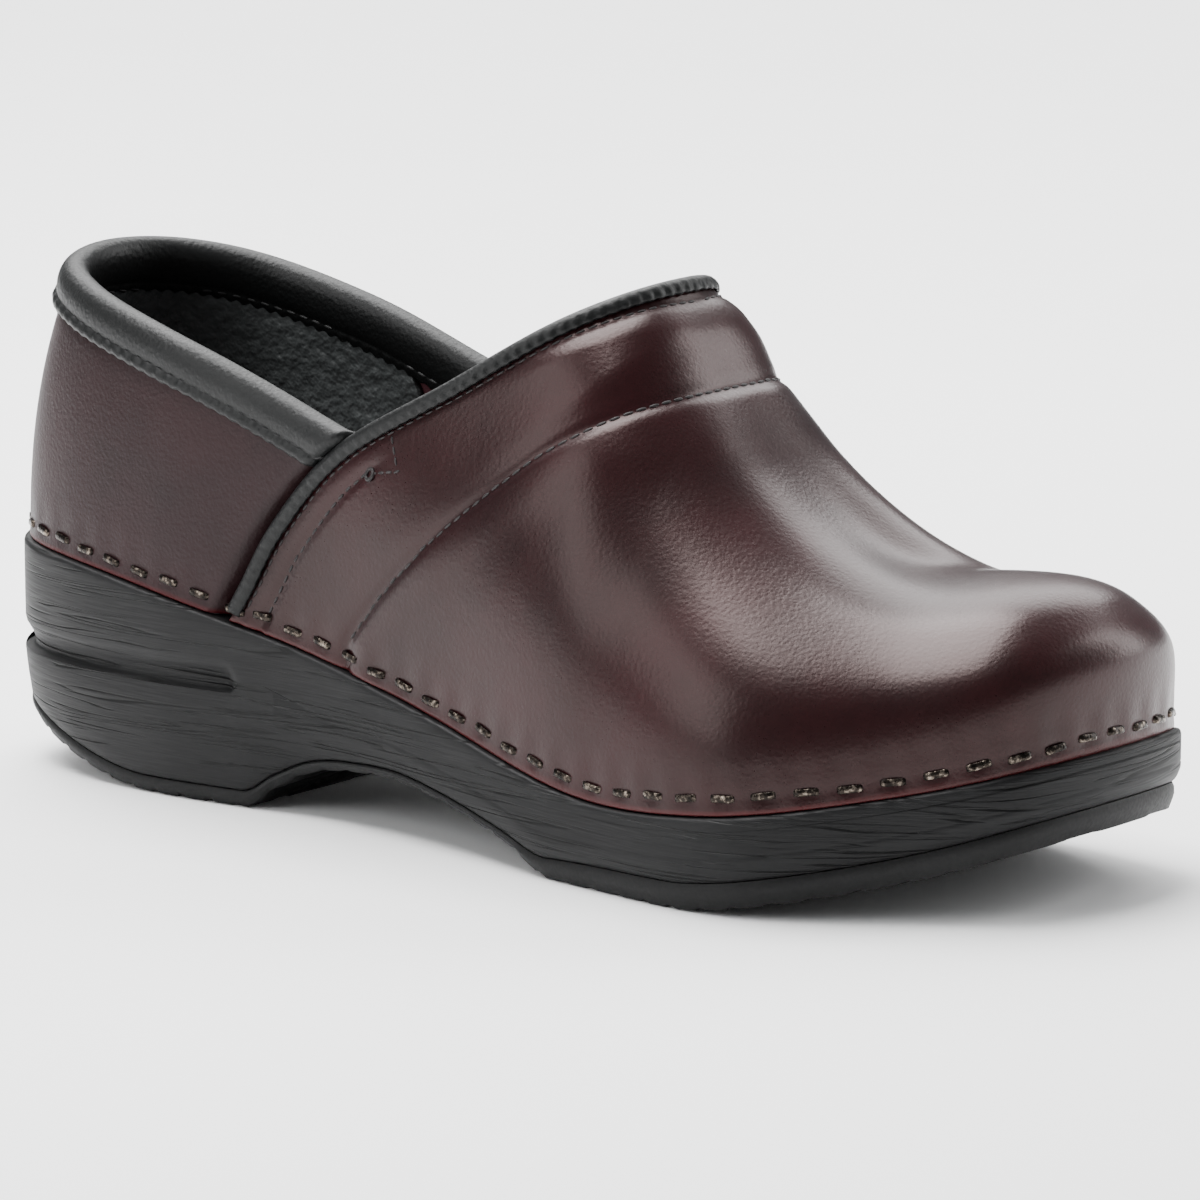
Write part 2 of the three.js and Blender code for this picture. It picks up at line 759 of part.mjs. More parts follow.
const quarterGrid = (columns, levels) => [
  ...[...columns].reverse().map((a) => levels.map((r) => quarterSpot(-1, a, r))),
  ...columns.slice(1).map((a) => levels.map((r) => quarterSpot(1, a, r))),
];
add(
  "quarter",
  cut(wall(quarterGrid(quarterColumns, quarterRows), duck, (p) => duck(p) + flange), legHoles),
  burgundy,
  0.4,
);
const counterTop = flange + gap;
add(
  "heel_counter",
  wall(
    quarterGrid(quarterColumns.slice(0, 8), quarterRows.slice(1, 5)),
    () => counterTop,
    () => counterTop + counterThick,
  ),
  collarBlack,
  0.6,
);

// ---- Collar: a foam core in a folded leather strip, along the quarter's top edge ----
// How far forward the collar goes: its lower edge stops this short of the vamp's edge.
const reachOn = (side, short) =>
  solve(0, 1, (a) => {
    const top = quarterSpot(side, a, 1);
    const p = last(top.s, top.v);
    const r = 1 - collarDrop / (p.z - ledgeZ(p.x));
    const low = quarterSpot(side, a, r);
    return ahead(last(low.s, low.v)) < -short;
  });
const reach = (short) => Math.min(reachOn(-1, short), reachOn(1, short));
const collarSpots = (end) => [
  ...range(15).reverse().map((t) => quarterSpot(-1, t * end, 1)),
  ...range(15).slice(1).map((t) => quarterSpot(1, t * end, 1)),
];
const upward = (frames) => frames.map((f) => (f.b.z < 0 ? { ...f, b: f.b.clone().negate() } : f));
const collarFrames = (short) => upward(framesAlong(collarSpots(reach(short)), duck));
const coverShort = 15;
const foamShort = 18;
const coverFrames = collarFrames(coverShort);
const foamFrames = collarFrames(foamShort);
const coverSection = [
  [1.3, -7], [1.8, -2], [1.3, 2], [-1.5, 4.2], [-5, 3.4], [-7.5, 0], [-7.6, -5], [-5.2, -10.5],
  [-4.4, -10], [-6.5, -5], [-6.4, -0.3], [-4.4, 2.4], [-1.5, 3.2], [0.5, 1.4], [0.8, -2], [0.3, -7],
];
add("collar_cover", sweep(coverFrames, coverSection), collarBlack, 0.55);
const foamSection = [
  [-flange - 1.4, -8.5], [-flange - gap, 0.5], [-1, 0.8], [-1.6, 2.8],
  [-4.1, 2], [-6, -0.6], [-6.1, -5], [-4.4, -9],
];
add("collar_foam", sweep(foamFrames, foamSection), 0x3a3738, 0.9);
const thread = (a, b) => round(a, b, threadWide / 2, 5);
add("collar_stitch_outer", sweep(coverFrames, thread(2.2, -5)), threadColour, 0.7);
add("collar_stitch_inner", sweep(coverFrames, thread(-7.1, -8.3)), threadColour, 0.7);

// ---- Vamp binding and the seams beside it ----
// A line beside the vamp's rear edge, from the foot up to the ridge on one side.
function seamLine(station, side, top) {
  const foot = solve(0, 0.6, (v) => {
    const p = last(side * station(v, side), v);
    return p.z < ledgeZ(p.x) + edgeStart;
  });
  const levels = [foot, ...rows.filter((v) => v > foot + 0.03 && v <= top)];
  return levels.map((v) => ({ s: side * station(v, side), v }));
}
const overInstep = (station) => [...seamLine(station, -1, 1), ...seamLine(station, 1, 1).reverse().slice(1)];
const forward = (frames) => frames.map((f) => (f.b.x < 0 ? { ...f, b: f.b.clone().negate() } : f));
const lipIn = bindingClear;
const lipOut = bindingClear + bindingThick;
const legEnd = bindingWidth - lipOut;
const bindingSection = [
  [lipOut, legEnd], [lipOut, -lipOut], [-leather - lipOut, -lipOut], [-leather - lipOut, legEnd],
  [-leather - lipIn, legEnd], [-leather - lipIn, -lipIn], [lipIn, -lipIn], [lipIn, legEnd],
];
add("vamp_binding", sweep(forward(framesAlong(overInstep(edgeStation))), bindingSection), collarBlack, 0.6);
const onTop = threadWide / 2 + threadClear;
const flat = (spots) => sweep(framesAlong(spots), thread(onTop, 0));
add("band_stitch", flat(overInstep(bandStation)), threadColour, 0.7);
const seamTop = 0.5;
for (const [name, side] of [["outer", -1], ["inner", 1]]) {
  for (const [place, shift] of [["rear", bindingWidth + 3], ["front", overlap - 3]]) {
    add(`${name}_seam_${place}`, flat(seamLine(besideEdge(shift), side, seamTop)), threadColour, 0.7);
  }
}

// ---- Staples ----
stapleStations.map(stapleFrame).forEach((f, i) => {
  add(`staple_${String(i + 1).padStart(2, "0")}`, stapleSolid(f), wireColour, 0.35, 0.9);
});

// ---- The origin: on the floor, in the middle of the overall box ----
const box = new THREE.Box3().setFromObject(group);
const middle = box.getCenter(new THREE.Vector3());
for (const mesh of group.children) mesh.geometry.translate(-middle.x, -middle.y, -box.min.z);

export default group;
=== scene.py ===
# %% [markdown]
# # A closed-back clog, made over its CAD frame
# The shoe is a moulded black sole with a leather upper stapled round it. The CAD model fixes
# the overall size and place. Here each visible piece is made again in fine mesh, with a finish
# of its own. The collar and the binding are slimmer than their CAD pieces, and the seams lie
# a few millimetres nearer the binding. First come the frame, its box and the unit: the shoe
# is drawn in millimetres and Blender works in metres.

# %% The frame
import math
import random

import bmesh
import bpy
import numpy as np
from mathutils import Matrix, Vector
from mathutils.bvhtree import BVHTree


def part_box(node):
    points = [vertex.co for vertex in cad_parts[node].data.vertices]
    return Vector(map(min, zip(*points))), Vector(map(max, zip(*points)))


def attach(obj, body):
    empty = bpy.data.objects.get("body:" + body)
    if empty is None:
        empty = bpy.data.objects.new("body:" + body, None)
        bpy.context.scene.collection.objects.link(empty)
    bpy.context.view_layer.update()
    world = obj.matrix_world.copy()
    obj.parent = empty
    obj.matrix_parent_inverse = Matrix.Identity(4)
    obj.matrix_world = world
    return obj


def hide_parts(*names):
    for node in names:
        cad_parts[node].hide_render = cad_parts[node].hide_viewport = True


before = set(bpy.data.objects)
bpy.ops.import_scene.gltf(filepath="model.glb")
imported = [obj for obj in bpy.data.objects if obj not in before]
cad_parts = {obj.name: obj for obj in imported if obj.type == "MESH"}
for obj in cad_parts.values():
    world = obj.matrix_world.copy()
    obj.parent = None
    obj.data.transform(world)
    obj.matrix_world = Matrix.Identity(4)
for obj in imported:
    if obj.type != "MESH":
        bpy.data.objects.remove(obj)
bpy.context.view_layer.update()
MM = 0.001

# %% [markdown]
# ## Curves
# A shoe has no straight lines, so its edges are given by a few points with a smooth curve
# through them. The curve keeps level past its ends. The same curves shape the sole, the vamp
# and the quarter in the CAD, so these pieces land on the frame.

# %% Curve helpers
def curve(points):
    x, y = np.array(points, float).T
    inner = (y[2:] - y[:-2]) / (x[2:] - x[:-2])
    first = (y[1] - y[0]) / (x[1] - x[0])
    final = (y[-1] - y[-2]) / (x[-1] - x[-2])
    slope = np.concatenate([[first], inner, [final]])

    def at(t):
        t = np.clip(t, x[0], x[-1])
        i = np.clip(np.searchsorted(x, t) - 1, 0, len(x) - 2)
        width = x[i + 1] - x[i]
        k = (t - x[i]) / width
        start = y[i] * (2 * k**3 - 3 * k**2 + 1) + slope[i] * width * (k**3 - 2 * k**2 + k)
        return start + y[i + 1] * (3 * k**2 - 2 * k**3) + slope[i + 1] * width * (k**3 - k**2)

    return at


def scaled(size_x, size_y, points):
    return curve([(x * size_x, y * size_y) for x, y in points])


def mix(a, b, t):
    return a + (b - a) * t


def smooth(t):
    t = np.clip(t, 0, 1)
    return t * t * (3 - 2 * t)


def bell(distance, width):
    return np.exp(-((distance / width) ** 2))


def where_it_stops(low, high, holds, like):
    """Halves an interval, for every point of like at once, until holds turns false."""
    low = np.full(np.shape(like), float(low))
    high = np.full(np.shape(like), float(high))
    for _ in range(26):
        middle = (low + high) / 2
        inside = holds(middle)
        low = np.where(inside, middle, low)
        high = np.where(inside, high, middle)
    return low


# %% [markdown]
# ## The last
# A shoemaker pulls the leather over a last, a solid form of the foot. Here the last is a
# surface with two numbers: a station that runs round the sole (0 at the toe's tip, 1 and -1 at
# the back of the heel, negative on the outer side), and a row that climbs from the sole's
# ledge (0) to the ridge over the instep (1). A last made this way gives every leather piece
# its place, its normal and its neighbours, which separate sculpted pieces would not.

# %% Sizes of the sole and the last, in millimetres
low, high = (Vector(corner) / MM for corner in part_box("sole_body"))
HALF = (high.x - low.x) / 2
TOE_OUT, BALL_OUT, WAIST_OUT, HEEL_OUT = 38, 54, 43, 38
TOE_IN, BALL_IN, WAIST_IN, HEEL_IN = 41, 44, 35, 33
TIP_SHIFT, BACK_SHIFT = 7, -1
HEEL_HIGH, BALL_HIGH, TOE_HIGH = 48, 18, 31
ARCH, TOE_SPRING, HEEL_SPRING = 11.5, 15, 13
BOX_HIGH, INSTEP_HIGH, COLLAR_HIGH = 61.5, 112, 106.5
LEDGE, BULGE, LEATHER, FLANGE, GAP = 1.5, 1.5, 1.8, 1.6, 0.3
OVERLAP = 15
BREAST = -0.42 * HALF
BALL = 0.24 * HALF

outline_y = curve([
    (-1.1, 0.6 * HEEL_IN), (-1, BACK_SHIFT), (-0.9, -0.6 * HEEL_OUT), (-0.8, -0.89 * HEEL_OUT),
    (-0.7, -HEEL_OUT), (-0.6, -0.86 * WAIST_OUT), (-0.5, -WAIST_OUT), (-0.4, -0.95 * BALL_OUT),
    (-0.3, -BALL_OUT), (-0.2, -TOE_OUT), (-0.1, -0.6 * TOE_OUT), (0, TIP_SHIFT),
    (0.1, 0.8 * TOE_IN), (0.2, TOE_IN), (0.3, BALL_IN), (0.4, 0.96 * BALL_IN), (0.5, WAIST_IN),
    (0.6, 0.9 * WAIST_IN), (0.7, 0.98 * HEEL_IN), (0.8, 0.93 * HEEL_IN), (0.9, 0.6 * HEEL_IN),
    (1, BACK_SHIFT), (1.1, -0.6 * HEEL_OUT),
])
ledge_z = scaled(HALF, 1, [
    (-1, HEEL_HIGH), (-0.72, 0.94 * HEEL_HIGH), (-0.4, 0.78 * HEEL_HIGH), (-0.08, 0.6 * HEEL_HIGH),
    (0.3, BALL_HIGH), (0.55, BALL_HIGH + 1), (0.8, mix(BALL_HIGH, TOE_HIGH, 0.48)), (1, TOE_HIGH),
])
underside = curve([
    (-HALF, HEEL_SPRING), (-0.95 * HALF, 0.83 * HEEL_SPRING), (-0.81 * HALF, 0.38 * HEEL_SPRING),
    (-0.7 * HALF, 0.1 * HEEL_SPRING), (-0.62 * HALF, 0), (BREAST, 0),
    (BREAST + 0.06 * HALF, 0.45 * ARCH), (BREAST + 0.13 * HALF, 0.83 * ARCH),
    (BREAST + 0.22 * HALF, ARCH), (-0.07 * HALF, ARCH),
    (BALL - 0.1 * HALF, 0.45 * ARCH), (BALL, 0), (0.5 * HALF, 0), (0.62 * HALF, 0.12 * TOE_SPRING),
    (0.8 * HALF, 0.45 * TOE_SPRING), (HALF, TOE_SPRING),
])
tread_thick = curve([
    (BREAST, 3.5), (BREAST + 0.1 * HALF, 2.4), (BALL - 0.1 * HALF, 2.4), (BALL + 0.02 * HALF, 4.5),
    (0.55 * HALF, 5.5),
])
ridge_z = scaled(HALF, 1, [
    (-0.66, 1.3 * COLLAR_HIGH), (-0.3, 1.56 * COLLAR_HIGH), (0, mix(BOX_HIGH, INSTEP_HIGH, 1.47)),
    (0.23, INSTEP_HIGH), (0.33, mix(BOX_HIGH, INSTEP_HIGH, 0.62)),
    (0.43, mix(BOX_HIGH, INSTEP_HIGH, 0.32)), (0.54, mix(BOX_HIGH, INSTEP_HIGH, 0.09)),
    (0.64, mix(BOX_HIGH, INSTEP_HIGH, -0.02)), (0.77, BOX_HIGH),
])
ridge_y = scaled(HALF, 1, [(-0.66, -2), (0, -1), (0.77, TIP_SHIFT)])
fullness = curve([
    (-1, 1.9), (-0.5, 2.1), (-0.3, 2.1), (-0.15, 2.8), (0, 3.6), (0.15, 2.6), (0.3, 1.95),
    (0.5, 1.9), (1, 1.9),
])
SHIFT = np.array([0, high.y - outline_y(np.linspace(0, 1, 400)).max(), 0])
print("the shoe's own centreline lies", round(float(SHIFT[1]), 2), "mm to the inner side")

# %% [markdown]
# The rows of the last meet on the ridge. Where they would meet at an angle the leather would
# show a crease, so each row turns square to the ridge just before it gets there.

# %% The last as a function
def station_x(s):
    return HALF * np.cos(np.pi * s)


def floor_z(x):
    return np.maximum(0, underside(x))


def outline(s, inset=0):
    step = 1e-3
    tx = station_x(s + step) - station_x(s - step)
    ty = outline_y(s + step) - outline_y(s - step)
    long = np.hypot(tx, ty)
    return station_x(s) - inset * ty / long, outline_y(s) + inset * tx / long


def last(s, v):
    s, v = np.broadcast_arrays(np.asarray(s, float), np.asarray(v, float))
    full = mix(0.2, 1, smooth((1 - abs(s)) / 0.4))
    swell = BULGE * full * np.sin(np.pi * np.minimum(1, 1.8 * v)) ** 2
    x0, y0 = outline(s, LEDGE - swell)
    z0 = ledge_z(outline(s, LEDGE)[0]) + GAP
    x1 = mix(0.77 * HALF, -0.66 * HALF, (1 - np.cos(np.pi * abs(s))) / 2)
    phi = v * np.pi / 2
    power = 2 / fullness(s)
    inward = 1 - np.maximum(np.cos(phi), 0) ** power
    turn = np.clip((inward - 0.6) / 0.4, 0, 1)
    squared = inward + 0.4 * (turn**2 - turn**3) * smooth(abs(s) / 0.15)
    up = np.sin(phi) ** power
    point = (mix(x0, x1, squared), mix(y0, ridge_y(x1), inward), mix(z0, ridge_z(x1), up))
    return np.stack(point, -1)


def unit(vectors):
    return vectors / np.maximum(np.linalg.norm(vectors, axis=-1, keepdims=True), 1e-9)


def normal_at(s, v):
    step = 2e-3
    along = last(s + step, v) - last(s - step, v)
    rise = last(s, np.minimum(1, v + step)) - last(s, np.maximum(0, v - step))
    return unit(np.cross(along, rise))


edge_x = scaled(INSTEP_HIGH, HALF, [
    (0.304, -0.465), (0.4, -0.415), (0.536, -0.343), (0.688, -0.216), (0.821, -0.019),
    (0.938, 0.137), (1, 0.23),
])
band_x = scaled(INSTEP_HIGH, HALF, [
    (0.343, -0.205), (0.442, -0.13), (0.56, -0.02), (0.657, 0.085), (0.747, 0.185),
    (0.805, 0.27), (0.843, 0.345),
])
topline_z = scaled(HALF, COLLAR_HIGH, [
    (-1, 1), (-0.78, 0.943), (-0.52, 0.859), (-0.2, 0.723), (0, 0.684),
])
INNER_RISE = 1.2


def ahead(p):
    return p[..., 0] - edge_x(p[..., 2])


def station_on(v, side, holds):
    return where_it_stops(0.05, 0.95, lambda a: holds(last(side * a, v)), v)


def edge_station(v, side):
    return station_on(v, side, lambda p: ahead(p) > 0)


def band_station(v, side):
    return station_on(v, side, lambda p: p[..., 0] > band_x(p[..., 2]))


def beside_edge(shift):
    def station(v, side):
        start = last(side * edge_station(v, side), v)[..., 0]
        return station_on(v, side, lambda p: p[..., 0] > start + shift)
    return station


def topline_row(s):
    raised = np.where(s > 0, INNER_RISE * smooth((1 - s) / 0.2), 0)

    def below(v):
        p = last(s, v)
        return p[..., 2] < topline_z(p[..., 0]) + raised
    return where_it_stops(0, 1, below, s)


def row_above(s, rise):
    def below(v):
        p = last(s, v)
        return p[..., 2] < ledge_z(p[..., 0]) + rise
    return where_it_stops(0, 0.6, below, s)


BINDING_THICK, BINDING_CLEAR = 0.9, 0.5
DUCK = LEATHER + BINDING_THICK + BINDING_CLEAR + 2 * GAP


def duck(p):
    return DUCK * smooth((ahead(p) + 7) / 5.5)


throat = last(edge_station(np.array(1.0), 1), 1.0)
print("toe box top at", last(0.0, 1.0).round(1), "throat at", throat.round(1))

# %% [markdown]
# ## From grid to leather
# A piece of leather is flat before it is pulled over the last, and so is its mesh: it starts
# as a flat grid whose points are then put on the last. Each point can also be pushed in or out
# along the finished surface, for a stitched valley, a padded swelling or the dimple at a
# staple. The push comes after the seam is welded, so both sides of a seam move alike.

# %% Mesh helpers
def laid(columns, rows, place, bm=None):
    """A grid put in place: place(across, up), both 0 to 1, gives points and their push in mm."""
    bm = bm or bmesh.new()
    push = bm.verts.layers.float.get("push") or bm.verts.layers.float.new("push")
    verts = bmesh.ops.create_grid(bm, x_segments=columns, y_segments=rows, size=0.5)["verts"]
    flat = np.array([v.co[:2] for v in verts]) + 0.5
    points, out = place(flat[:, 0], flat[:, 1])
    out = np.broadcast_to(out, flat[:, 0].shape)
    for vert, point, mm in zip(verts, ((points + SHIFT) * MM).tolist(), out.tolist()):
        vert.co = point
        vert[push] = mm
    return bm


def welded(bm, heart=(0, 0, 60), weld=0.01):
    """Merges doubles, turns the faces outwards and pushes the points along the surface."""
    bmesh.ops.remove_doubles(bm, verts=bm.verts, dist=weld * MM)
    bmesh.ops.dissolve_degenerate(bm, edges=bm.edges, dist=1e-7)
    bmesh.ops.recalc_face_normals(bm, faces=bm.faces)
    heart = Vector(heart) * MM
    facing = sum((f.calc_center_median() - heart).dot(f.normal) * f.calc_area() for f in bm.faces)
    if facing < 0:
        bmesh.ops.reverse_faces(bm, faces=bm.faces)
    bm.normal_update()
    push = bm.verts.layers.float["push"]
    moves = [(v, v.normal * v[push] * MM) for v in bm.verts if v[push]]
    for vert, move in moves:
        vert.co += move
    bm.verts.layers.float.remove(push)
    bm.normal_update()
    return bm


pieces = {}


def piece(name, bm, finishes, stands_for=(), sharp=None):
    """Makes a finished object of a mesh, riding on the root body, with its finishes."""
    mesh = bpy.data.meshes.new(name)
    bm.to_mesh(mesh)
    bm.free()
    mesh.shade_smooth()
    if sharp:
        mesh.set_sharp_from_angle(angle=math.radians(sharp))
    for finish in finishes:
        mesh.materials.append(finish)
    made = bpy.data.objects.new(name, mesh)
    bpy.context.scene.collection.objects.link(made)
    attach(made, "root")
    if stands_for:
        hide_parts(*stands_for)
    pieces[name] = made
    return made


def hemmed(made):
    """Marks the lowest millimetre above the ledge, where the dye of the cut edge shows."""
    hem = made.data.attributes.new("hem", "FLOAT", "POINT")
    co = np.array([v.co for v in made.data.vertices]) / MM
    hem.data.foreach_set("value", smooth((1.5 - (co[:, 2] - ledge_z(co[:, 0]))) / 1.0))


def thickened(made, thick, rounded=0.25):
    """Gives a sheet its thickness inwards, with its inside and cut edge in the next finishes."""
    count = len(made.data.materials)
    wall = made.modifiers.new("thickness", "SOLIDIFY")
    wall.thickness = thick * MM
    wall.offset = -1
    wall.material_offset = min(1, count - 1)
    wall.material_offset_rim = min(2, count - 1)
    edge = made.modifiers.new("edge", "BEVEL")
    edge.limit_method = "ANGLE"
    edge.angle_limit = math.radians(50)
    edge.width = rounded * MM
    edge.segments = 2


def swept(centres, a_axes, b_axes, section):
    """Carries a closed section along a line of frames and closes both ends."""
    section = np.asarray(section, float)
    if section.ndim == 2:
        section = np.broadcast_to(section, (len(centres),) + section.shape)
    sides = section.shape[1]

    def place(across, up):
        i = np.rint(across * (len(centres) - 1)).astype(int)
        j = np.rint(up * sides).astype(int) % sides
        a, b = section[i, j].T
        return centres[i] + a_axes[i] * a[:, None] + b_axes[i] * b[:, None], 0
    bm = laid(len(centres) - 1, sides, place)
    bmesh.ops.remove_doubles(bm, verts=bm.verts, dist=0.002 * MM)
    bmesh.ops.holes_fill(bm, edges=[e for e in bm.edges if e.is_boundary], sides=0)
    return bm


def frames_on(s, v):
    """Points on the last with the leather's normal and the direction across the line."""
    points = last(s, v)
    out = normal_at(s, v)
    tangent = unit(np.gradient(points, axis=0))
    across = unit(np.cross(tangent, out))
    return points, unit(np.cross(across, tangent)), across


def run_along(points):
    """The length of a line up to each of its points."""
    return np.concatenate([[0], np.cumsum(np.linalg.norm(np.diff(points, axis=0), axis=1))])


def evenly(points, pitch):
    """Places on a line at an even pitch, as a share of the line's points."""
    run = run_along(points)
    count = max(2, int(run[-1] / pitch))
    marks = (np.arange(count) + 0.5) * run[-1] / count
    return np.interp(marks, run, np.arange(len(points))), run


# %% [markdown]
# ## Finishes
# Every finish is built from nodes and named for the real material. Colours are written as
# sRGB hex, as a colour picker gives them, and turned to the linear values that light works
# with. One helper adds a node with its settings and links; one function joins the parts that
# nearly all these materials share: slow patches of tone, a fine surface grain raised as a
# bump, and a roughness that varies a little.

# %% Material helpers
def linear(code):
    channels = [int(code[i:i + 2], 16) / 255 for i in (0, 2, 4)]
    low_part = [c / 12.92 if c <= 0.04045 else ((c + 0.055) / 1.055) ** 2.4 for c in channels]
    return (*low_part, 1)


def add_node(tree, kind, settings=None, **links):
    made = tree.nodes.new("ShaderNode" + kind)
    for key, value in (settings or {}).items():
        if key == "ramp":
            ramp = made.color_ramp
            ramp.elements.remove(ramp.elements[0])
            ramp.elements[0].position = value[0][0]
            ramp.elements[0].color = linear(value[0][1])
            for place, code in value[1:]:
                ramp.elements.new(place).color = linear(code)
        else:
            setattr(made, key, value)
    for key, value in links.items():
        socket = made.inputs[key.replace("_", " ")]
        if isinstance(value, bpy.types.NodeSocket):
            tree.links.new(value, socket)
        else:
            socket.default_value = value
    return made


LINE_LEVELS = (0.38, 0.45, 0.52, 0.59)  # heights of the noise that the engraved lines follow


def finish_of(name, tones, patch, grains, rough, stretch=(1, 1, 1), lines=None, hem=None, **shader):
    """tones: ramp over the patches. patch: their size in mm. grains: (kind, mm, height in mm).
    rough: lowest and highest roughness. stretch: how many times longer the pattern is along
    each axis. lines: (spacing, width as a share, depth in mm, dark) engraves broken contour
    lines of a noise and colours them with dark, a painted shade in the grooves. hem: the tone
    of the edge, where the mesh attribute hem is 1."""
    material = bpy.data.materials.new(name)
    material.use_nodes = True
    tree = material.node_tree
    surface = tree.nodes["Principled BSDF"]
    place = add_node(tree, "TexCoord").outputs["Object"]
    scale = [1 / n for n in stretch]
    place = add_node(tree, "Mapping", Vector=place, Scale=scale).outputs["Vector"]
    patches = add_node(tree, "TexNoise", Vector=place, Scale=1000 / patch, Detail=4.0,
                       Roughness=0.55)
    ramp = add_node(tree, "ValToRGB", {"ramp": tones}, Fac=patches.outputs["Fac"])
    colour, normal = ramp.outputs["Color"], None
    if lines:
        spacing, width, depth, dark = lines
        noise = add_node(tree, "TexNoise", Vector=place, Scale=1000 / spacing, Detail=2.0,
                         Roughness=0.4, Distortion=0.2)
        stops = [(0.0, "ffffff")]
        for centre in LINE_LEVELS:
            stops += [(centre - width, "ffffff"), (centre, "000000"), (centre + width, "ffffff")]
        cut = add_node(tree, "ValToRGB", {"ramp": stops}, Fac=noise.outputs["Fac"]).outputs["Color"]
        gaps = add_node(tree, "TexNoise", Vector=place, Scale=2700 / spacing, Detail=1.0)
        gaps = add_node(tree, "ValToRGB", {"ramp": [(0.47, "000000"), (0.53, "ffffff")]},
                        Fac=gaps.outputs["Fac"]).outputs["Color"]
        cut = add_node(tree, "MixRGB", {"blend_type": "LIGHTEN"}, Fac=1.0, Color1=cut, Color2=gaps)
        cut = cut.outputs["Color"]
        bump = add_node(tree, "Bump", Height=cut, Distance=depth * MM, Strength=1.0)
        normal = bump.outputs["Normal"]
        # Painted shade: the engraved lines take the dark tone, as shade in the grooves.
        toned = add_node(tree, "MixRGB", Fac=cut, Color1=linear(dark), Color2=colour)
        colour = toned.outputs["Color"]
    if hem:
        edge = add_node(tree, "Attribute", {"attribute_name": "hem"}).outputs["Fac"]
        toned = add_node(tree, "MixRGB", Fac=edge, Color1=colour, Color2=linear(hem))
        colour = toned.outputs["Color"]
    tree.links.new(colour, surface.inputs["Base Color"])
    for kind, size, height in grains:
        settings = {"feature": "SMOOTH_F1"} if kind == "Voronoi" else {}
        texture = add_node(tree, "Tex" + kind, settings, Vector=place, Scale=1000 / size)
        value = texture.outputs["Distance" if kind == "Voronoi" else "Fac"]
        bump = add_node(tree, "Bump", Height=value, Distance=height * MM, Strength=1.0)
        if normal:
            tree.links.new(normal, bump.inputs["Normal"])
        normal = bump.outputs["Normal"]
    tree.links.new(normal, surface.inputs["Normal"])
    spread = add_node(tree, "MapRange", Value=value, From_Min=0.2, From_Max=0.8,
                      To_Min=rough[0], To_Max=rough[1])
    tree.links.new(spread.outputs["Result"], surface.inputs["Roughness"])
    for socket, value in shader.items():
        surface.inputs[socket.replace("_", " ")].default_value = value
    return material


# %% [markdown]
# The upper is box calf, a smooth chrome-tanned leather, dyed oxblood and finished with a
# polished coat: a dark red-brown with deeper patches and broad soft highlights. Its pores are
# drawn about 0.8 mm apart, coarser than real ones, so that they show. The quarter is cut from
# the same hide but polished less. The collar and the binding are black sheepskin with a
# slightly coarser pebble.

# %% Leathers
vamp_calf = finish_of(
    "oxblood_box_calf", [(0.3, "130507"), (0.5, "1c080a"), (0.75, "260b0f")], 38,
    [("Noise", 9, 0.06), ("Voronoi", 0.8, 0.035), ("Noise", 0.4, 0.02)], (0.26, 0.36),
    hem="420f13", Coat_Weight=0.03, Coat_Roughness=0.2, Specular_IOR_Level=0.27,
    Specular_Tint=linear("ffe6e2"))
quarter_calf = finish_of(
    "oxblood_calf_less_polished", [(0.3, "17090a"), (0.5, "1f0c0e"), (0.75, "261012")], 38,
    [("Noise", 9, 0.08), ("Voronoi", 0.75, 0.07), ("Noise", 0.35, 0.04)], (0.40, 0.52),
    hem="420f13", Specular_IOR_Level=0.2)
suede = finish_of(
    "oxblood_suede_flesh_side", [(0.3, "4a1f27"), (0.7, "642c36")], 12,
    [("Noise", 0.5, 0.06)], (0.85, 0.98), Sheen_Weight=0.3, Sheen_Roughness=0.5)
cut_edge = finish_of(
    "red_dyed_cut_edge", [(0.3, "2c0b0e"), (0.7, "561a1d")], 3,
    [("Noise", 0.4, 0.08)], (0.7, 0.9))
sheepskin = finish_of(
    "black_sheepskin", [(0.3, "080909"), (0.7, "0f1010")], 20,
    [("Noise", 4, 0.06), ("Voronoi", 0.9, 0.10), ("Noise", 0.4, 0.05)], (0.40, 0.52),
    Specular_IOR_Level=0.25)
counter_grain = finish_of(
    "black_embossed_counter_sheet", [(0.3, "363939"), (0.7, "4a4d4d")], 18,
    [("Noise", 2.6, 0.9), ("Voronoi", 1.3, 0.2)], (0.45, 0.58))
sock_skin = finish_of(
    "black_sock_leather", [(0.3, "0f0e0f"), (0.7, "1a1919")], 25,
    [("Voronoi", 0.9, 0.04), ("Noise", 0.4, 0.02)], (0.5, 0.65))
print("leathers", vamp_calf.name, quarter_calf.name, sheepskin.name)

# %% [markdown]
# The sole is moulded polyurethane, matt charcoal black, from a mould engraved with a wood
# grain: fine broken lines that run level round the whole sole, coloured darker as painted
# shade in the grooves. The outsole is a softer rubber.
# The staples are flattened steel wire, blackened, with light patches that are partly wear
# and partly painted glints.

# %% Sole, rubber, wire, thread and hidden materials
# Painted shade: the sole's engraved grain lines are coloured black, as shade in the grooves.
sole_pu = finish_of(
    "moulded_polyurethane_wood_grain", [(0.3, "070708"), (0.5, "0b0b0c"), (0.75, "0f0f10")], 9,
    [("Noise", 1.2, 0.10), ("Noise", 0.4, 0.08)], (0.46, 0.6), stretch=(24, 24, 1),
    lines=(5.0, 0.016, 0.24, "000000"), Specular_IOR_Level=0.22)
rubber = finish_of(
    "black_outsole_rubber", [(0.3, "060606"), (0.7, "0b0b0c")], 15,
    [("Noise", 0.8, 0.05)], (0.5, 0.65), Specular_IOR_Level=0.25)
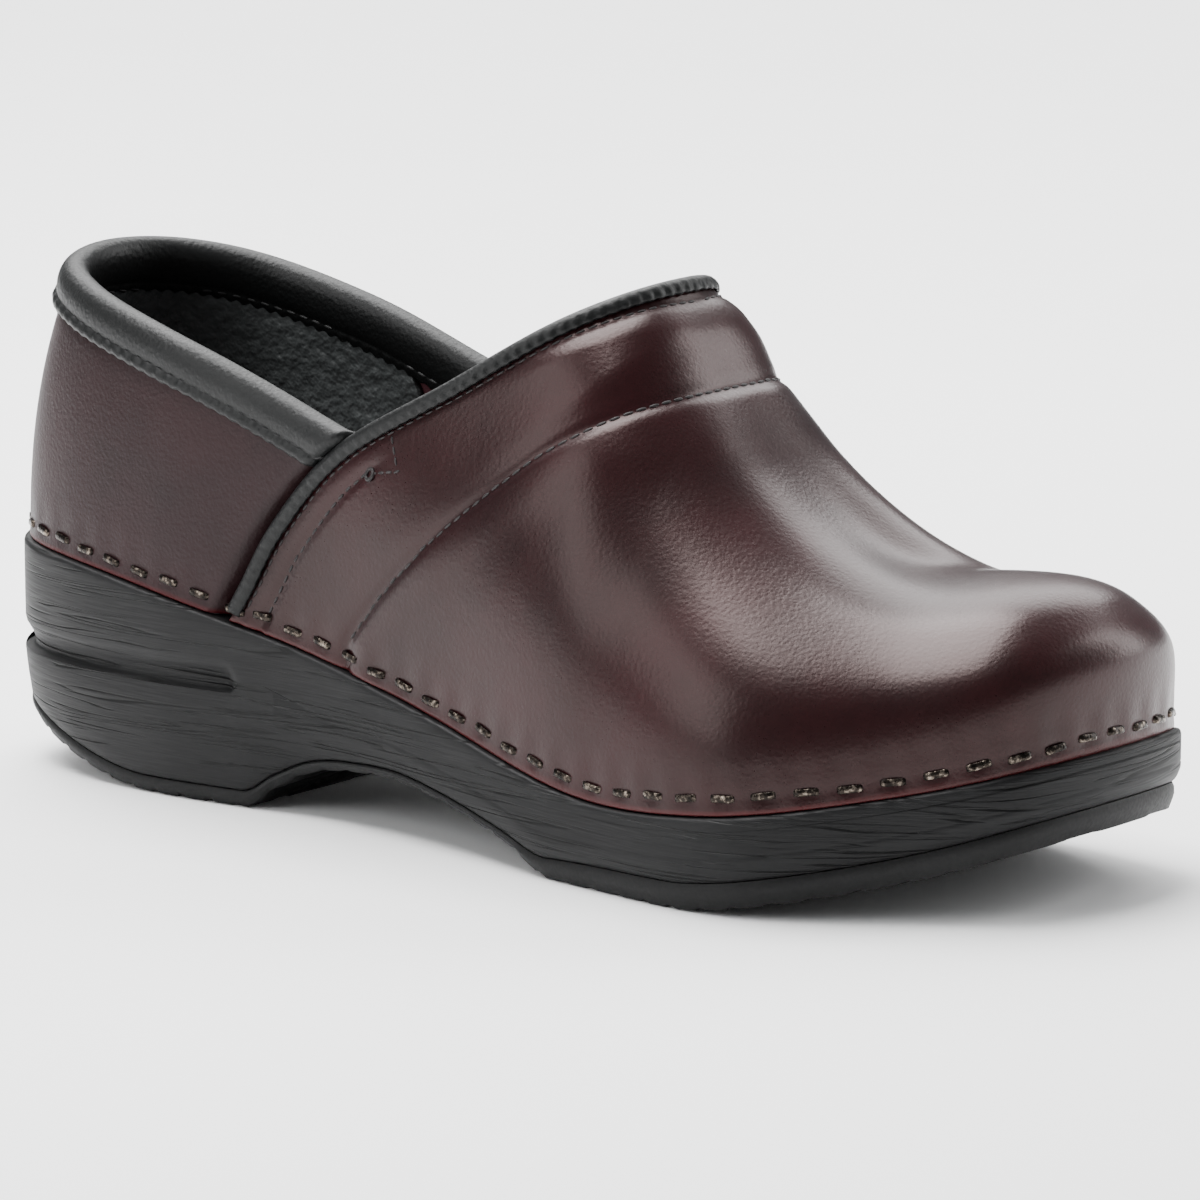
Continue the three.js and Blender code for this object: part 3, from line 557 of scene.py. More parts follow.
# Painted glints: the lightest tone of the wire's ramp is partly wear and partly painted glint.
wire = finish_of(
    "blackened_steel_wire", [(0.35, "14110f"), (0.52, "302a25"), (0.7, "83786d")], 1.1,
    [("Noise", 0.6, 0.12)], (0.2, 0.38), Metallic=0.9)
thread = finish_of(
    "waxed_polyester_thread", [(0.3, "080505"), (0.7, "160b0c")], 1.5,
    [("Noise", 0.3, 0.05)], (0.5, 0.7))
black_thread = finish_of(
    "black_polyester_thread", [(0.3, "0a0a0b"), (0.7, "1c1c1d")], 1.5,
    [("Noise", 0.3, 0.05)], (0.5, 0.7))
foam = finish_of(
    "open_cell_foam", [(0.3, "2c2a2b"), (0.7, "454243")], 4,
    [("Voronoi", 0.8, 0.3)], (0.85, 0.95))
board = finish_of(
    "cellulose_fibre_board", [(0.3, "5a4a38"), (0.7, "7c6a54")], 5,
    [("Noise", 0.6, 0.08)], (0.8, 0.95))
nylon = finish_of(
    "black_moulded_nylon", [(0.3, "202021"), (0.7, "2b2b2c")], 10,
    [("Noise", 0.5, 0.03)], (0.4, 0.55))
felt = finish_of(
    "impregnated_toe_puff_felt", [(0.3, "6f6557"), (0.7, "988c7b")], 4,
    [("Noise", 0.5, 0.12)], (0.85, 0.95))
hidden = {"stability_frame": nylon, "insole_board": board, "toe_puff": felt}
for node, finish in hidden.items():
    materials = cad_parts[node].data.materials
    materials.clear()
    materials.append(finish)
print("carried-over nodes with new finishes:", sorted(hidden))

# %% [markdown]
# ## Staple places
# The staples stand at an even pitch all round, so their places are worked out first: each one
# presses a small dimple into the leather, which the vamp and the quarter have to know about.

# %% Staple places
STAPLES, RISE, CROWN, WIRE_TALL, WIRE_THICK = 76, 3.5, 5.2, 1.4, 0.8
round_s = np.linspace(-1, 1, 361)
row_line = last(round_s, row_above(round_s, RISE))
row_run = run_along(row_line)
staple_s = np.interp((np.arange(STAPLES) + 0.25) * row_run[-1] / STAPLES, row_run, round_s)
staple_v = row_above(staple_s, RISE)
staple_p = last(staple_s, staple_v)
staple_n = normal_at(staple_s, staple_v)
slope = (ledge_z(staple_p[:, 0] + 1) - ledge_z(staple_p[:, 0] - 1)) / 2
staple_out = unit(np.stack([staple_n[:, 0], staple_n[:, 1], slope * staple_n[:, 0]], -1))
staple_along = np.stack([-staple_n[:, 1], staple_n[:, 0], -slope * staple_n[:, 1]], -1)
staple_along -= staple_out * np.sum(staple_along * staple_out, -1, keepdims=True)
staple_along = unit(staple_along)
staple_up = np.cross(staple_out, staple_along)
print("staple pitch", round(row_run[-1] / STAPLES, 2), "mm")


def dimples(points):
    """How far the staples pull the leather in, and how it swells between them, in mm."""
    pull = np.zeros(len(points))
    near = np.where(points[:, 2] < ledge_z(points[:, 0]) + 14)[0]
    away = points[near][:, None, :] - staple_p[None]
    along = np.einsum("ijk,jk->ij", away, staple_along)
    up = np.einsum("ijk,jk->ij", away, staple_up)
    nearby = np.linalg.norm(away, axis=-1) < 12
    under_crown = 0.35 * bell(along, 3.1) * bell(up, 1.6)
    above_crown = 0.25 * bell(along, 3.4) * bell(up - 3, 3.2)
    pull[near] = -((under_crown + above_crown) * nearby).sum(1)
    return pull + 0.2 * smooth((14 - (points[:, 2] - ledge_z(points[:, 0]))) / 10)


def unevenness(points, size, height):
    """The slow, slight waves that real leather keeps after lasting."""
    x, y, z = (points / size).T
    across = np.sin(1.3 * x + 0.9 * np.sin(1.1 * y + 2))
    upwards = np.sin(1.7 * z + 1.2 * np.sin(0.8 * x + 1))
    return height * (across + upwards) / 2


# %% [markdown]
# ## The vamp
# The vamp is one piece of calf that covers the toe and the instep. It is stretched over the
# toe box, padded across the instep between its rear edge and the band seam, and pinched in
# where it is sewn. A flat grid laid on the last gives the stretch, and the push along the
# surface gives the valleys; carving them in afterwards would need a far finer mesh.

# %% The vamp
TOE_REACH, TOE_SHARE = 0.33, 0.42
SEAM_REAR, SEAM_FRONT, SEAM_TOP = 2.5, 7.6, 0.235


def on_vamp(across, up):
    side = np.where(across < 0.5, -1, 1)
    a = abs(2 * across - 1)
    v = up**1.3
    part = np.clip((a - TOE_SHARE) / (1 - TOE_SHARE), 0, 1)
    reach = np.where(a < TOE_SHARE, TOE_REACH * a / TOE_SHARE, 0)
    s = side * np.where(a < TOE_SHARE, reach, mix(TOE_REACH, edge_station(v, side), part))
    return s, v, side


def vamp_place(across, up):
    s, v, side = on_vamp(across, up)
    points = last(s, v)
    from_edge = points[:, 0] - last(side * edge_station(v, side), v)[:, 0]
    from_band = points[:, 0] - last(side * band_station(v, side), v)[:, 0]
    padded = smooth((v - 0.4) / 0.25) * smooth((from_edge - 1) / 6) * smooth((-from_band) / 7)
    sewn = smooth((SEAM_TOP + 0.03 - v) / 0.03)
    push = 1.2 * padded + 0.4 * bell(from_band - 6, 5)
    push = push - 0.65 * bell(from_band, 1.1) - 0.25 * bell(from_band + 1.5, 2.5)
    push = push - 0.5 * sewn * bell(from_edge - SEAM_FRONT, 1.0)
    push = push - 0.25 * bell(from_edge - SEAM_REAR, 0.9)
    push = push + dimples(points) + unevenness(points, 16, 0.18)
    return points, push


bm = welded(laid(420, 64, vamp_place))
skins = {"vamp": BVHTree.FromBMesh(bm)}
vamp = piece("vamp_leather", bm, [vamp_calf, suede, cut_edge], ["vamp"])
hemmed(vamp)
thickened(vamp, LEATHER)
print("vamp", len(vamp.data.polygons), "faces")

# %% [markdown]
# ## The quarter and the heel counter
# The quarter goes round the heel and slips under the vamp at both sides, set deeper there so
# that it leaves no step. A black embossed counter sheet stiffens it from the inside; its front
# edge runs forward and down in a long curve. Both are grids on the same last, laid deeper.

# %% The quarter
front_edge = beside_edge(OVERLAP)
corners = {}
for side in (-1, 1):
    top = where_it_stops(0, 1, lambda v: v < topline_row(side * front_edge(v, side)), np.array(0.5))
    corners[side] = (float(front_edge(np.array(0.0), side)), float(front_edge(top, side)))


def quarter_spot(side, a, r):
    foot = np.where(side < 0, corners[-1][0], corners[1][0])
    top = np.where(side < 0, corners[-1][1], corners[1][1])
    head = mix(1, top, a)
    return side * mix(mix(1, foot, a), head, r), topline_row(side * head) * r


def quarter_place(across, up):
    side = np.where(across < 0.5, -1, 1)
    s, v = quarter_spot(side, abs(2 * across - 1), up**1.2)
    points = last(s, v)
    out = normal_at(s, v)
    under_collar = 0.5 * smooth((up - 0.86) / 0.1)
    push = dimples(points) + unevenness(points, 15, 0.15) - under_collar
    return points - out * duck(points)[:, None], push


bm = welded(laid(300, 44, quarter_place))
skins["quarter"] = BVHTree.FromBMesh(bm)
quarter_finishes = [quarter_calf, suede, cut_edge]
quarter = piece("quarter_leather", bm, quarter_finishes, ["quarter"])
hemmed(quarter)
thickened(quarter, FLANGE)

COUNTER_THICK = 1.5
counter_reach = curve([
    (0, 0.8), (0.3, 0.8), (0.6, 0.79), (0.72, 0.775), (0.81, 0.75), (0.9, 0.71), (0.96, 0.64),
    (0.98, 0.58), (1, 0.5),
])


def counter_place(across, up):
    side = np.where(across < 0.5, -1, 1)
    r = mix(0.12, 0.97, up)
    s, v = quarter_spot(side, abs(2 * across - 1) * counter_reach(r), r)
    points = last(s, v)
    depth = FLANGE + GAP + duck(points)
    return points - normal_at(s, v) * depth[:, None], unevenness(points, 9, 0.12)


bm = welded(laid(220, 40, counter_place))
counter = piece("heel_counter_sheet", bm, [counter_grain], ["heel_counter"])
thickened(counter, COUNTER_THICK, rounded=0.5)
print("quarter reaches", corners, "faces", len(quarter.data.polygons))

# %% [markdown]
# ## The collar
# The quarter's top edge is finished with a strip of black sheepskin folded over a foam core:
# a smooth roll on top, a stitched groove below it and a narrow, slightly puckered flap under
# the stitches. The strip is a closed section, an outside line and the same line one skin
# thickness further in, swept along the topline. It flattens where it runs in under the vamp.

# %% The collar
def through(points, count):
    """The same line with more points, spaced evenly along it."""
    points = np.array(points, float)
    run = run_along(points)
    marks = np.linspace(0, run[-1], count)
    return np.stack([curve(list(zip(run, points[:, k])))(marks) for k in (0, 1)], -1)


def skin_section(line, thick):
    """A closed section: the line and its copy moved in by the skin's thickness."""
    tangent = unit(np.gradient(line, axis=-2))
    inward = np.stack([tangent[..., 1], -tangent[..., 0]], -1)
    return np.concatenate([line, (line + inward * thick)[..., ::-1, :]], -2)


COLLAR_PAST_EDGE = 4  # how far the collar runs in under the vamp


def collar_end(side):
    def clear(a):
        s, v = quarter_spot(side, a, np.ones(np.shape(a)))
        return ahead(last(s, v)) < COLLAR_PAST_EDGE
    return float(where_it_stops(0, 1, clear, np.array(0.5)))


ends = {side: collar_end(side) for side in (-1, 1)}


def topline_frames(count):
    t = np.linspace(-1, 1, count)
    side = np.where(t < 0, -1, 1)
    a = abs(t) * np.where(t < 0, ends[-1], ends[1])
    s, v = quarter_spot(side, a, np.ones(count))
    points, out, rise = frames_on(s, v)
    rise = np.where(rise[:, 2:] < 0, -rise, rise)
    return points, out, rise, ahead(last(s, v))


COLLAR_POINTS, STITCH_PITCH, COLLAR_SIDES, COLLAR_SKIN = 620, 3.3, 46, 0.9
collar_p, collar_out, collar_up, collar_ahead = topline_frames(COLLAR_POINTS)
collar_marks, collar_run = evenly(collar_p, STITCH_PITCH)
heel_rise = 1.3 * bell(np.linspace(-1, 1, COLLAR_POINTS), 0.3)


def tucked(line):
    """Presses a section flat and moves it inwards where the collar runs in under the vamp."""
    n, u = line[..., 0], line[..., 1]
    points = collar_p[:, None] + collar_out[:, None] * line[..., :1]
    points = points + collar_up[:, None] * line[..., 1:]
    under = smooth((ahead(points) + 5.5) / 5)
    n = np.where(n > 0, n * (1 - 0.8 * under), n * (1 - 0.35 * under))
    return np.stack([n - DUCK * under, u + heel_rise[:, None]], -1)


outer_line = through([
    (0.9, -6.2), (1.15, -5.4), (0.7, -4.2), (1.15, -3.0), (1.5, -1.2), (1.3, 0.8), (0.4, 2.2),
    (-1.0, 2.7), (-2.3, 2.0), (-3.1, 0.4), (-3.4, -2.0), (-3.3, -4.4), (-2.9, -5.6), (-3.1, -6.6),
    (-2.7, -7.6),
], COLLAR_SIDES)
line = np.broadcast_to(outer_line, (COLLAR_POINTS, COLLAR_SIDES, 2)).copy()
pinch = np.cos(2 * np.pi * collar_run / STITCH_PITCH)[:, None]
flap = bell(line[:, :, 1] + 5.8, 1.1) * (line[:, :, 0] > 0)
hem = bell(line[:, :, 1] + 7.2, 1.2) * (line[:, :, 0] < 0)
line[:, :, 0] += 0.13 * pinch * flap - 0.12 * pinch * hem
line[:, :, 1] += 0.2 * pinch * (flap - 0.8 * hem)
slow = np.sin(collar_run / 7.3) + np.sin(collar_run / 4.1 + 1)
line[:, :, 0] += 0.06 * slow[:, None] * flap
line = tucked(line)
bm = welded(swept(collar_p, collar_out, collar_up, skin_section(line, COLLAR_SKIN)))
skins["collar"] = BVHTree.FromBMesh(bm)
piece("collar_roll", bm, [sheepskin], ["collar_cover"])

core_line = np.array([
    (-FLANGE - 0.4, -5.2), (-FLANGE - GAP, 0.1), (-1, 0.4), (0.4, 0.2), (0.3, 0.9), (-0.9, 1.6),
    (-1.7, 1.1), (-2.1, 0.2), (-2.4, -2.0), (-2.3, -4.0), (-1.95, -5.0),
])
core = tucked(np.broadcast_to(core_line, (COLLAR_POINTS, len(core_line), 2)).copy())[::4]
core_frames = [rows[::4] for rows in (collar_p, collar_out, collar_up)]
bm = welded(swept(*core_frames, core))
core = piece("collar_foam_core", bm, [foam], ["collar_foam"])
print("collar", round(collar_run[-1]), "mm long,", len(collar_marks), "stitches")

# %% [markdown]
# ## The binding
# The vamp's rear edge is bound with a narrow strip of the same sheepskin, folded round the
# raw edge and sewn through. Its section is a rounded U swept along the edge over the instep,
# with small ticks where each stitch pulls it tight.

# %% The binding
BAND_RISE = 6.9  # how far above the ledge the band seam starts


def line_rows(station, side, top, count, rise=BAND_RISE):
    def below(v):
        p = last(side * station(v, side), v)
        return p[..., 2] < ledge_z(p[..., 0]) + rise
    foot = where_it_stops(0, 0.6, below, np.array(0.3))
    v = np.linspace(float(foot), top, count)
    return side * station(v, side), v


def over_instep(station, count, rise=BAND_RISE):
    s_out, v_out = line_rows(station, -1, 1, count, rise)
    s_in, v_in = line_rows(station, 1, 1, count, rise)
    return np.concatenate([s_out, s_in[-2::-1]]), np.concatenate([v_out, v_in[-2::-1]])


def levelled(points, out, across):
    """Frames whose middle, on the ridge, is eased so that both sides meet smoothly."""
    middle = len(points) // 2
    for rows in (out, across):
        for reach in (1, 2, 3):
            mean = unit(rows[middle - reach] + rows[middle + reach])
            rows[middle] = unit(rows[middle] + mean)
    return points, out, across


BINDING_PITCH, BINDING_SIDES, BINDING_SKIN, TICK = 2.6, 34, 0.75, 0.12
s, v = over_instep(edge_station, 260, rise=2.8)
edge_p, edge_out, edge_fwd = levelled(*frames_on(s, v))
edge_fwd = np.where(edge_fwd[:, :1] < 0, -edge_fwd, edge_fwd)
edge_run = evenly(edge_p, BINDING_PITCH)[1]
binding_line = through([
    (0.2, 1.35), (0.5, 1.2), (0.75, 0.7), (0.8, 0.0), (0.6, -0.6), (0.1, -0.95), (-0.7, -1.1),
    (-1.5, -1.05), (-2.2, -0.7), (-2.6, 0.2), (-2.75, 1.8), (-2.7, 3.4),
], BINDING_SIDES)[::-1]
line = np.broadcast_to(binding_line, (len(edge_p), BINDING_SIDES, 2)).copy()
ticks = np.cos(2 * np.pi * edge_run / BINDING_PITCH)[:, None]
front = bell(line[:, :, 1] - 0.9, 0.7) * (line[:, :, 0] > 0)
line[:, :, 0] += TICK * (ticks - 1) * front
line[:, :, 1] += TICK * ticks * front
bm = welded(swept(edge_p, edge_out, edge_fwd, skin_section(line, BINDING_SKIN)[:, ::-1]))
skins["binding"] = BVHTree.FromBMesh(bm)
piece("vamp_edge_binding", bm, [sheepskin], ["vamp_binding"])
print("binding", round(edge_run[-1]), "mm long")

# %% [markdown]
# ## Inside the instep
# Between the binding and the band seam the vamp is padded with foam under a lining leather.
# Both are grids laid across the instep, deeper than the vamp.

# %% Instep cushion and lining
PAD = (7.3, 22.0)
PAD_THICK, LINING_THICK = 2.4, 1.0


def across_instep(low_shift, high_shift, depth):
    def place(across, up):
        side = np.where(across < 0.5, -1, 1)
        v = mix(1, 0.5, abs(2 * across - 1))
        shift = mix(low_shift, high_shift, up)
        start = last(side * edge_station(v, side), v)[:, 0]
        s = side * station_on(v, side, lambda p: p[..., 0] > start + shift)
        return last(s, v), -depth(shift)
    return place


def swollen(shift):
    return smooth((shift - PAD[0] + 3) / 6) * smooth((PAD[1] + 3 - shift) / 6)


def lining_depth(shift):
    return mix(3.5, 6.0, swollen(shift))


bm = welded(laid(90, 24, across_instep(*PAD, lambda shift: LEATHER + 2 * GAP)))
cushion = piece("instep_cushion", bm, [foam], ["instep_pad"])
thickened(cushion, PAD_THICK, rounded=0.6)
bm = welded(laid(120, 40, across_instep(1.5, 26, lining_depth)))
lining = piece("instep_lining_leather", bm, [sheepskin], ["instep_lining"])
thickened(lining, LINING_THICK)
print("instep lining", len(lining.data.polygons), "faces")

# %% [markdown]
# ## The sole
# The sole unit is one thick moulding: level rings follow the outline, each with its own inset
# and height, and strips from side to side close its top and foot. The heel's groove, with a
# soft upper slope and a sharp lower lip, is real shape. So are the outsole's lugs. The
# wood grain is engraved level all round, as on the real mould.

# %% Rings and plates
def ring_points(s, inset, height):
    x = station_x(s)
    px, py = outline(s, inset(x) if callable(inset) else inset)
    return np.stack([px, py, height(x) if callable(height) else height + 0 * x], -1)


def plate(rings, around, wide, foot=None, top=None):
    """Rings joined upwards and closed below and above by strips from side to side."""
    def wall(across, up):
        s = 2 * across - 1
        level = np.rint(up * (len(rings) - 1)).astype(int)
        points = np.zeros((len(s), 3))
        for k, (inset, height) in enumerate(rings):
            points[level == k] = ring_points(s[level == k], inset, height)
        return points, 0

    def lid(inset, height, relief):
        def place(across, up):
            outer = ring_points(-across, inset, height)
            inner = ring_points(across, inset, height)
            points = mix(outer, inner, up[:, None])
            if relief:
                points[:, 2] += relief(points, up)
            return points, 0
        return place
    bm = laid(around, len(rings) - 1, wall)
    laid(around // 2, wide, lid(*rings[0], foot), bm)
    laid(around // 2, wide, lid(*rings[-1], top), bm)
    return welded(bm, weld=0.02)


GROOVE_LOW, GROOVE_HIGH, GROOVE_DEEP, GROOVE_END = 24, 29.5, 2.2, 2.9


def sole_foot(x):
    return floor_z(x) + tread_thick(x) + GAP


def raised(rise):
    return lambda x: ledge_z(x) + rise


def side_at(share):
    """A height on the sole's side, from its foot (0) to the ledge (1)."""
    return lambda x: mix(sole_foot(x), ledge_z(x), share)


def groove_level(height, share):
    """A ring's height: a share of the sole's side, drawn to the groove's own line at the heel."""
    def at(x):
        side = side_at(share)(x)
        past = np.clip(x - BREAST + GROOVE_END, 0, None) / GROOVE_END
        rounded = np.sqrt(np.clip(1 - past**2, 0, 1))
        centre = (GROOVE_LOW + GROOVE_HIGH) / 2
        line = centre + (height - centre) * rounded
        return mix(side, line, smooth((BREAST + 30 - x) / 26))
    return at


def groove_inset(deep):
    return lambda x: GROOVE_DEEP * deep * smooth((BREAST - x) / (0.03 * HALF))


sole_rings = [
    (2.4, lambda x: sole_foot(x) - 0.2), (1.6, lambda x: sole_foot(x) - 0.14),
    (1.15, lambda x: sole_foot(x) + 0.3), (0.85, side_at(0.07)),
    (0.5, side_at(0.14)), (0.2, side_at(0.22)), (0.0, side_at(0.29)),
    (0.0, groove_level(GROOVE_LOW - 0.5, 0.36)), (0.1, groove_level(GROOVE_LOW, 0.38)),
    (groove_inset(0.8), groove_level(GROOVE_LOW + 0.35, 0.41)),
    (groove_inset(1.0), groove_level(GROOVE_LOW + 0.9, 0.44)),
    (groove_inset(0.95), groove_level(GROOVE_LOW + 1.9, 0.48)),
    (groove_inset(0.75), groove_level(GROOVE_LOW + 3.2, 0.52)),
    (groove_inset(0.42), groove_level(GROOVE_LOW + 4.5, 0.56)),
    (groove_inset(0.15), groove_level(GROOVE_HIGH, 0.6)),
    (groove_inset(0.02), groove_level(GROOVE_HIGH + 1.2, 0.65)),
    (0.0, side_at(0.8)), (0.0, raised(-2.6)), (0.0, raised(-1.1)),
    (0.15, raised(-0.5)), (0.5, raised(-0.12)), (1.0, raised(0)), (5.5, raised(0)),
    (6.0, raised(-2.9)),
]
bm = plate(sole_rings, 560, 12)
sole = piece("sole_unit", bm, [sole_pu], ["sole_body"], sharp=48)
print("sole", len(sole.data.polygons), "faces")

# %% The outsole
LUG_PITCH, LUG_GROOVE, LUG_DEEP = 7.4, 2.0, 1.1


def lug_cut(points):
    """How far the outsole is cut up between its lugs: bent grooves from side to side."""
    x, y = points[:, 0], points[:, 1]
    phase = np.abs((x + 0.3 * abs(y)) / LUG_PITCH % 1 - 0.5) * LUG_PITCH
    return LUG_DEEP * smooth((LUG_GROOVE / 2 + 0.3 - phase) / 0.6)


def lugs(points, up):
    rim = smooth(np.minimum(up, 1 - up) / 0.02)
    return lug_cut(points) * mix(0.35, 1, rim)


def notched(height):
    def at(x):
        y = np.interp(x, [-HALF, HALF], [30, 40])
        return height(x) + 0.35 * lug_cut(np.stack([x, y, 0 * x], -1))
    return at


outsole_rings = [
    (3.0, notched(floor_z)), (2.2, notched(lambda x: floor_z(x) + 0.25)),
    (1.5, lambda x: floor_z(x) + 0.35 * tread_thick(x) + 0.3),
    (1.2, lambda x: floor_z(x) + 0.6 * tread_thick(x)),
    (1.25, lambda x: floor_z(x) + 0.85 * tread_thick(x)),
    (1.6, lambda x: floor_z(x) + tread_thick(x)),
]
bm = plate(outsole_rings, 760, 44, foot=lugs)
outsole = piece("outsole_tread", bm, [rubber], ["tread"], sharp=35)
print("outsole", len(outsole.data.polygons), "faces")

# %% [markdown]
# Inside, a footbed of foam carries the sock leather. Both are dished plates that follow the
# sole's outline inside the frame's wall. The CAD gives how far in that wall stands.

# %% Footbed and sock
EDGE_FOOT = float(edge_x(0))


def frame_inset(x):
    tuck = smooth((x - EDGE_FOOT + 28) / 12) * smooth((EDGE_FOOT + OVERLAP + 18 - x) / 10)
    return LEDGE + mix(LEATHER, DUCK + FLANGE, tuck) + 0.6 + 4 + GAP


def inside(more):
    return lambda x: frame_inset(x) + more


BED_LOW, BED_TOP, SOCK_LOW, SOCK_TOP = 2.9, 6.9, 7.2, 8.4
bm = plate([(inside(0), raised(BED_LOW)), (inside(0), raised(BED_TOP - 0.4)),
            (inside(0.6), raised(BED_TOP)), (inside(6), raised(BED_TOP - 1))], 240, 10)
bed = piece("footbed_cushion", bm, [foam], ["footbed"])


def crowned(points, up):
    """The sock swells a little under the arch of the foot."""
    arch = bell(points[:, 0] + 15, 40) * smooth((points[:, 1] - 8) / 26)
    return 1.2 * arch * np.sin(np.pi * up)


bm = plate([(inside(6), raised(SOCK_LOW - 1)), (inside(0.3), raised(SOCK_LOW)),
            (inside(0.2), raised(SOCK_TOP - 0.4)), (inside(0.8), raised(SOCK_TOP)),
            (inside(3), raised(SOCK_TOP - 0.35)), (inside(6), raised(SOCK_TOP - 1))], 300, 36,
           top=crowned)
sock = piece("sock_liner_leather", bm, [sock_skin], ["sock_liner"])
print("footbed and sock", len(bed.data.polygons), len(sock.data.polygons), "faces")

# %% [markdown]
# ## Staples
# Each staple is one length of flattened wire, bent twice and driven through the leather into
# the frame. Its section, a rectangle with broken corners, is swept along the bent line. A
# hand-held gun never sets two quite alike, so each one leans and sinks a little.

# %% The staples
draw = random.Random(11)
LEG = 4.2


def snapped(point, direction, trees):
    """The nearest place on the leather, and its normal turned the same way as direction."""
    best = None
    for tree in trees:
        found, normal, _, distance = tree.find_nearest(Vector((point + SHIFT) * MM))
        if best is None or distance < best[2]:
            best = (found, normal, distance)
    normal = np.array(best[1])
    return np.array(best[0]) / MM - SHIFT, normal * np.sign(normal @ direction)


def bent_wire(leg):
    """The staple's line, as (along, out) points: leg, shoulder, crown, shoulder, leg."""
    wide, bend = CROWN / 2 - WIRE_THICK / 2, 0.7
    angles = np.radians([0, 30, 60, 90])
    left = [(-wide, -leg), (-wide, -0.5 * leg)]
    left += [(-wide + bend * (1 - math.cos(a)), -bend * (1 - math.sin(a))) for a in angles]
    left.append((-wide / 3, 0.02))
    return np.array(left + [(-x, y) for x, y in left[::-1]])


t, k = WIRE_THICK / 2, WIRE_TALL / 2
wire_section = [(t, -k + 0.25), (t, k - 0.25), (t - 0.2, k), (-t + 0.2, k),
                (-t, k - 0.25), (-t, -k + 0.25), (-t + 0.2, -k), (t - 0.2, -k)]
for i in range(STAPLES):
    trees = [skins["vamp"]] if ahead(staple_p[i]) > 0.5 else [skins["quarter"], skins["vamp"]]
    place, _ = snapped(staple_p[i], staple_out[i], trees)
    lean, sink, lift = draw.uniform(-0.09, 0.09), draw.uniform(0.3, 0.5), draw.uniform(-0.35, 0.35)
    along = unit(staple_along[i] + staple_up[i] * lean)
    up = unit(np.cross(staple_out[i], along))
    line = bent_wire(LEG)
    turn = unit(np.gradient(line, axis=0))
    centre = place + staple_out[i] * sink + up * lift
    spots = centre + np.outer(line[:, 0], along) + np.outer(line[:, 1], staple_out[i])
    square = np.outer(-turn[:, 1], along) + np.outer(turn[:, 0], staple_out[i])
    bm = welded(swept(spots, square, np.broadcast_to(up, spots.shape), wire_section))
    stands_for = [f"staple_{i // 2 + 1:02d}"] if i % 2 == 0 else []
    piece(f"staple_wire_{i + 1:02d}", bm, [wire], stands_for, sharp=40)
print(STAPLES, "staples")

# %% [markdown]
# ## Stitches
# Each stitch is its own short bead of thread, lying in the valley the seam has pulled. A bead
# is a small sphere drawn out along the seam: a few dozen faces, since there are hundreds.

# %% The stitches
def stitched(name, points, normals, trees, pitch, bead, sink, finish, stands_for=()):
    """Beads of thread along a line; bead is (length, width, height) in mm."""
    marks, _ = evenly(points, pitch)
    bm = bmesh.new()
    tangents = unit(np.gradient(points, axis=0))
    for mark in marks:
        i = int(mark)
        centre = mix(points[i], points[min(i + 1, len(points) - 1)], mark - i)
        place, out = snapped(centre, normals[i], trees)
        along = unit(tangents[i] - out * (tangents[i] @ out))
        side = np.cross(out, along)
        axes = Matrix(np.stack([along, side, out], 1).tolist()).to_4x4()
        spot = Matrix.Translation(Vector((place - out * sink + SHIFT) * MM))
        size = Matrix.Diagonal([*(0.5 * np.array(bead) * MM), 1])
        bmesh.ops.create_uvsphere(bm, u_segments=8, v_segments=5, radius=1,
                                  matrix=spot @ axes @ size @ LYING)
    bmesh.ops.recalc_face_normals(bm, faces=bm.faces)
    piece(name, bm, [finish], stands_for)
    print(name, len(marks), "stitches")


LYING = Matrix.Rotation(math.radians(90), 4, "Y")
BEAD = (2.3, 0.7, 0.6)
s, v = over_instep(band_station, 300)
stitched("band_seam_stitches", last(s, v), normal_at(s, v), [skins["vamp"]], 2.9, BEAD, 0.0,
         thread, ["band_stitch"])
for name, side in (("outer", -1), ("inner", 1)):
    for place, shift in (("rear", SEAM_REAR), ("front", SEAM_FRONT)):
        top = SEAM_TOP if place == "front" else 0.98
        s, v = line_rows(beside_edge(shift), side, top, 160, rise=4.2)
        stitched(f"{name}_seam_{place}_stitches", last(s, v), normal_at(s, v), [skins["vamp"]],
                 2.6, (2.0, 0.6, 0.5), 0.0, thread, [f"{name}_seam_{place}"])
for place, n, u in (("outer", 0.8, -4.4), ("inner", -3.5, -6.1)):
    line = collar_p + collar_out * n + collar_up * u
    keep = collar_ahead < -4
    stitched(f"collar_{place}_stitches", line[keep], collar_out[keep] * np.sign(n),
             [skins["collar"]], STITCH_PITCH, (2.4, 0.65, 0.5), 0.0, black_thread,
             [f"collar_stitch_{place}"])

# %% [markdown]
# The front seam ends on each side at a small knotted tack. From there a short seam runs
# forward and turns up to the binding. The tack is a ring of thread round a hole.

# %% The tacks
def closing_line(side):
    """From the tack forward, then up to the binding, as stations and rows."""
    t = np.linspace(0, 1, 40)
    shift = np.interp(t, [0, 0.45, 1], [SEAM_FRONT + 0.8, 12.0, 3.0])
    v = np.interp(t, [0, 0.45, 1], [SEAM_TOP, 0.262, 0.3])
    start = last(side * edge_station(v, side), v)[:, 0]
    s = side * station_on(v, side, lambda p: p[..., 0] > start + shift)
    return s, v


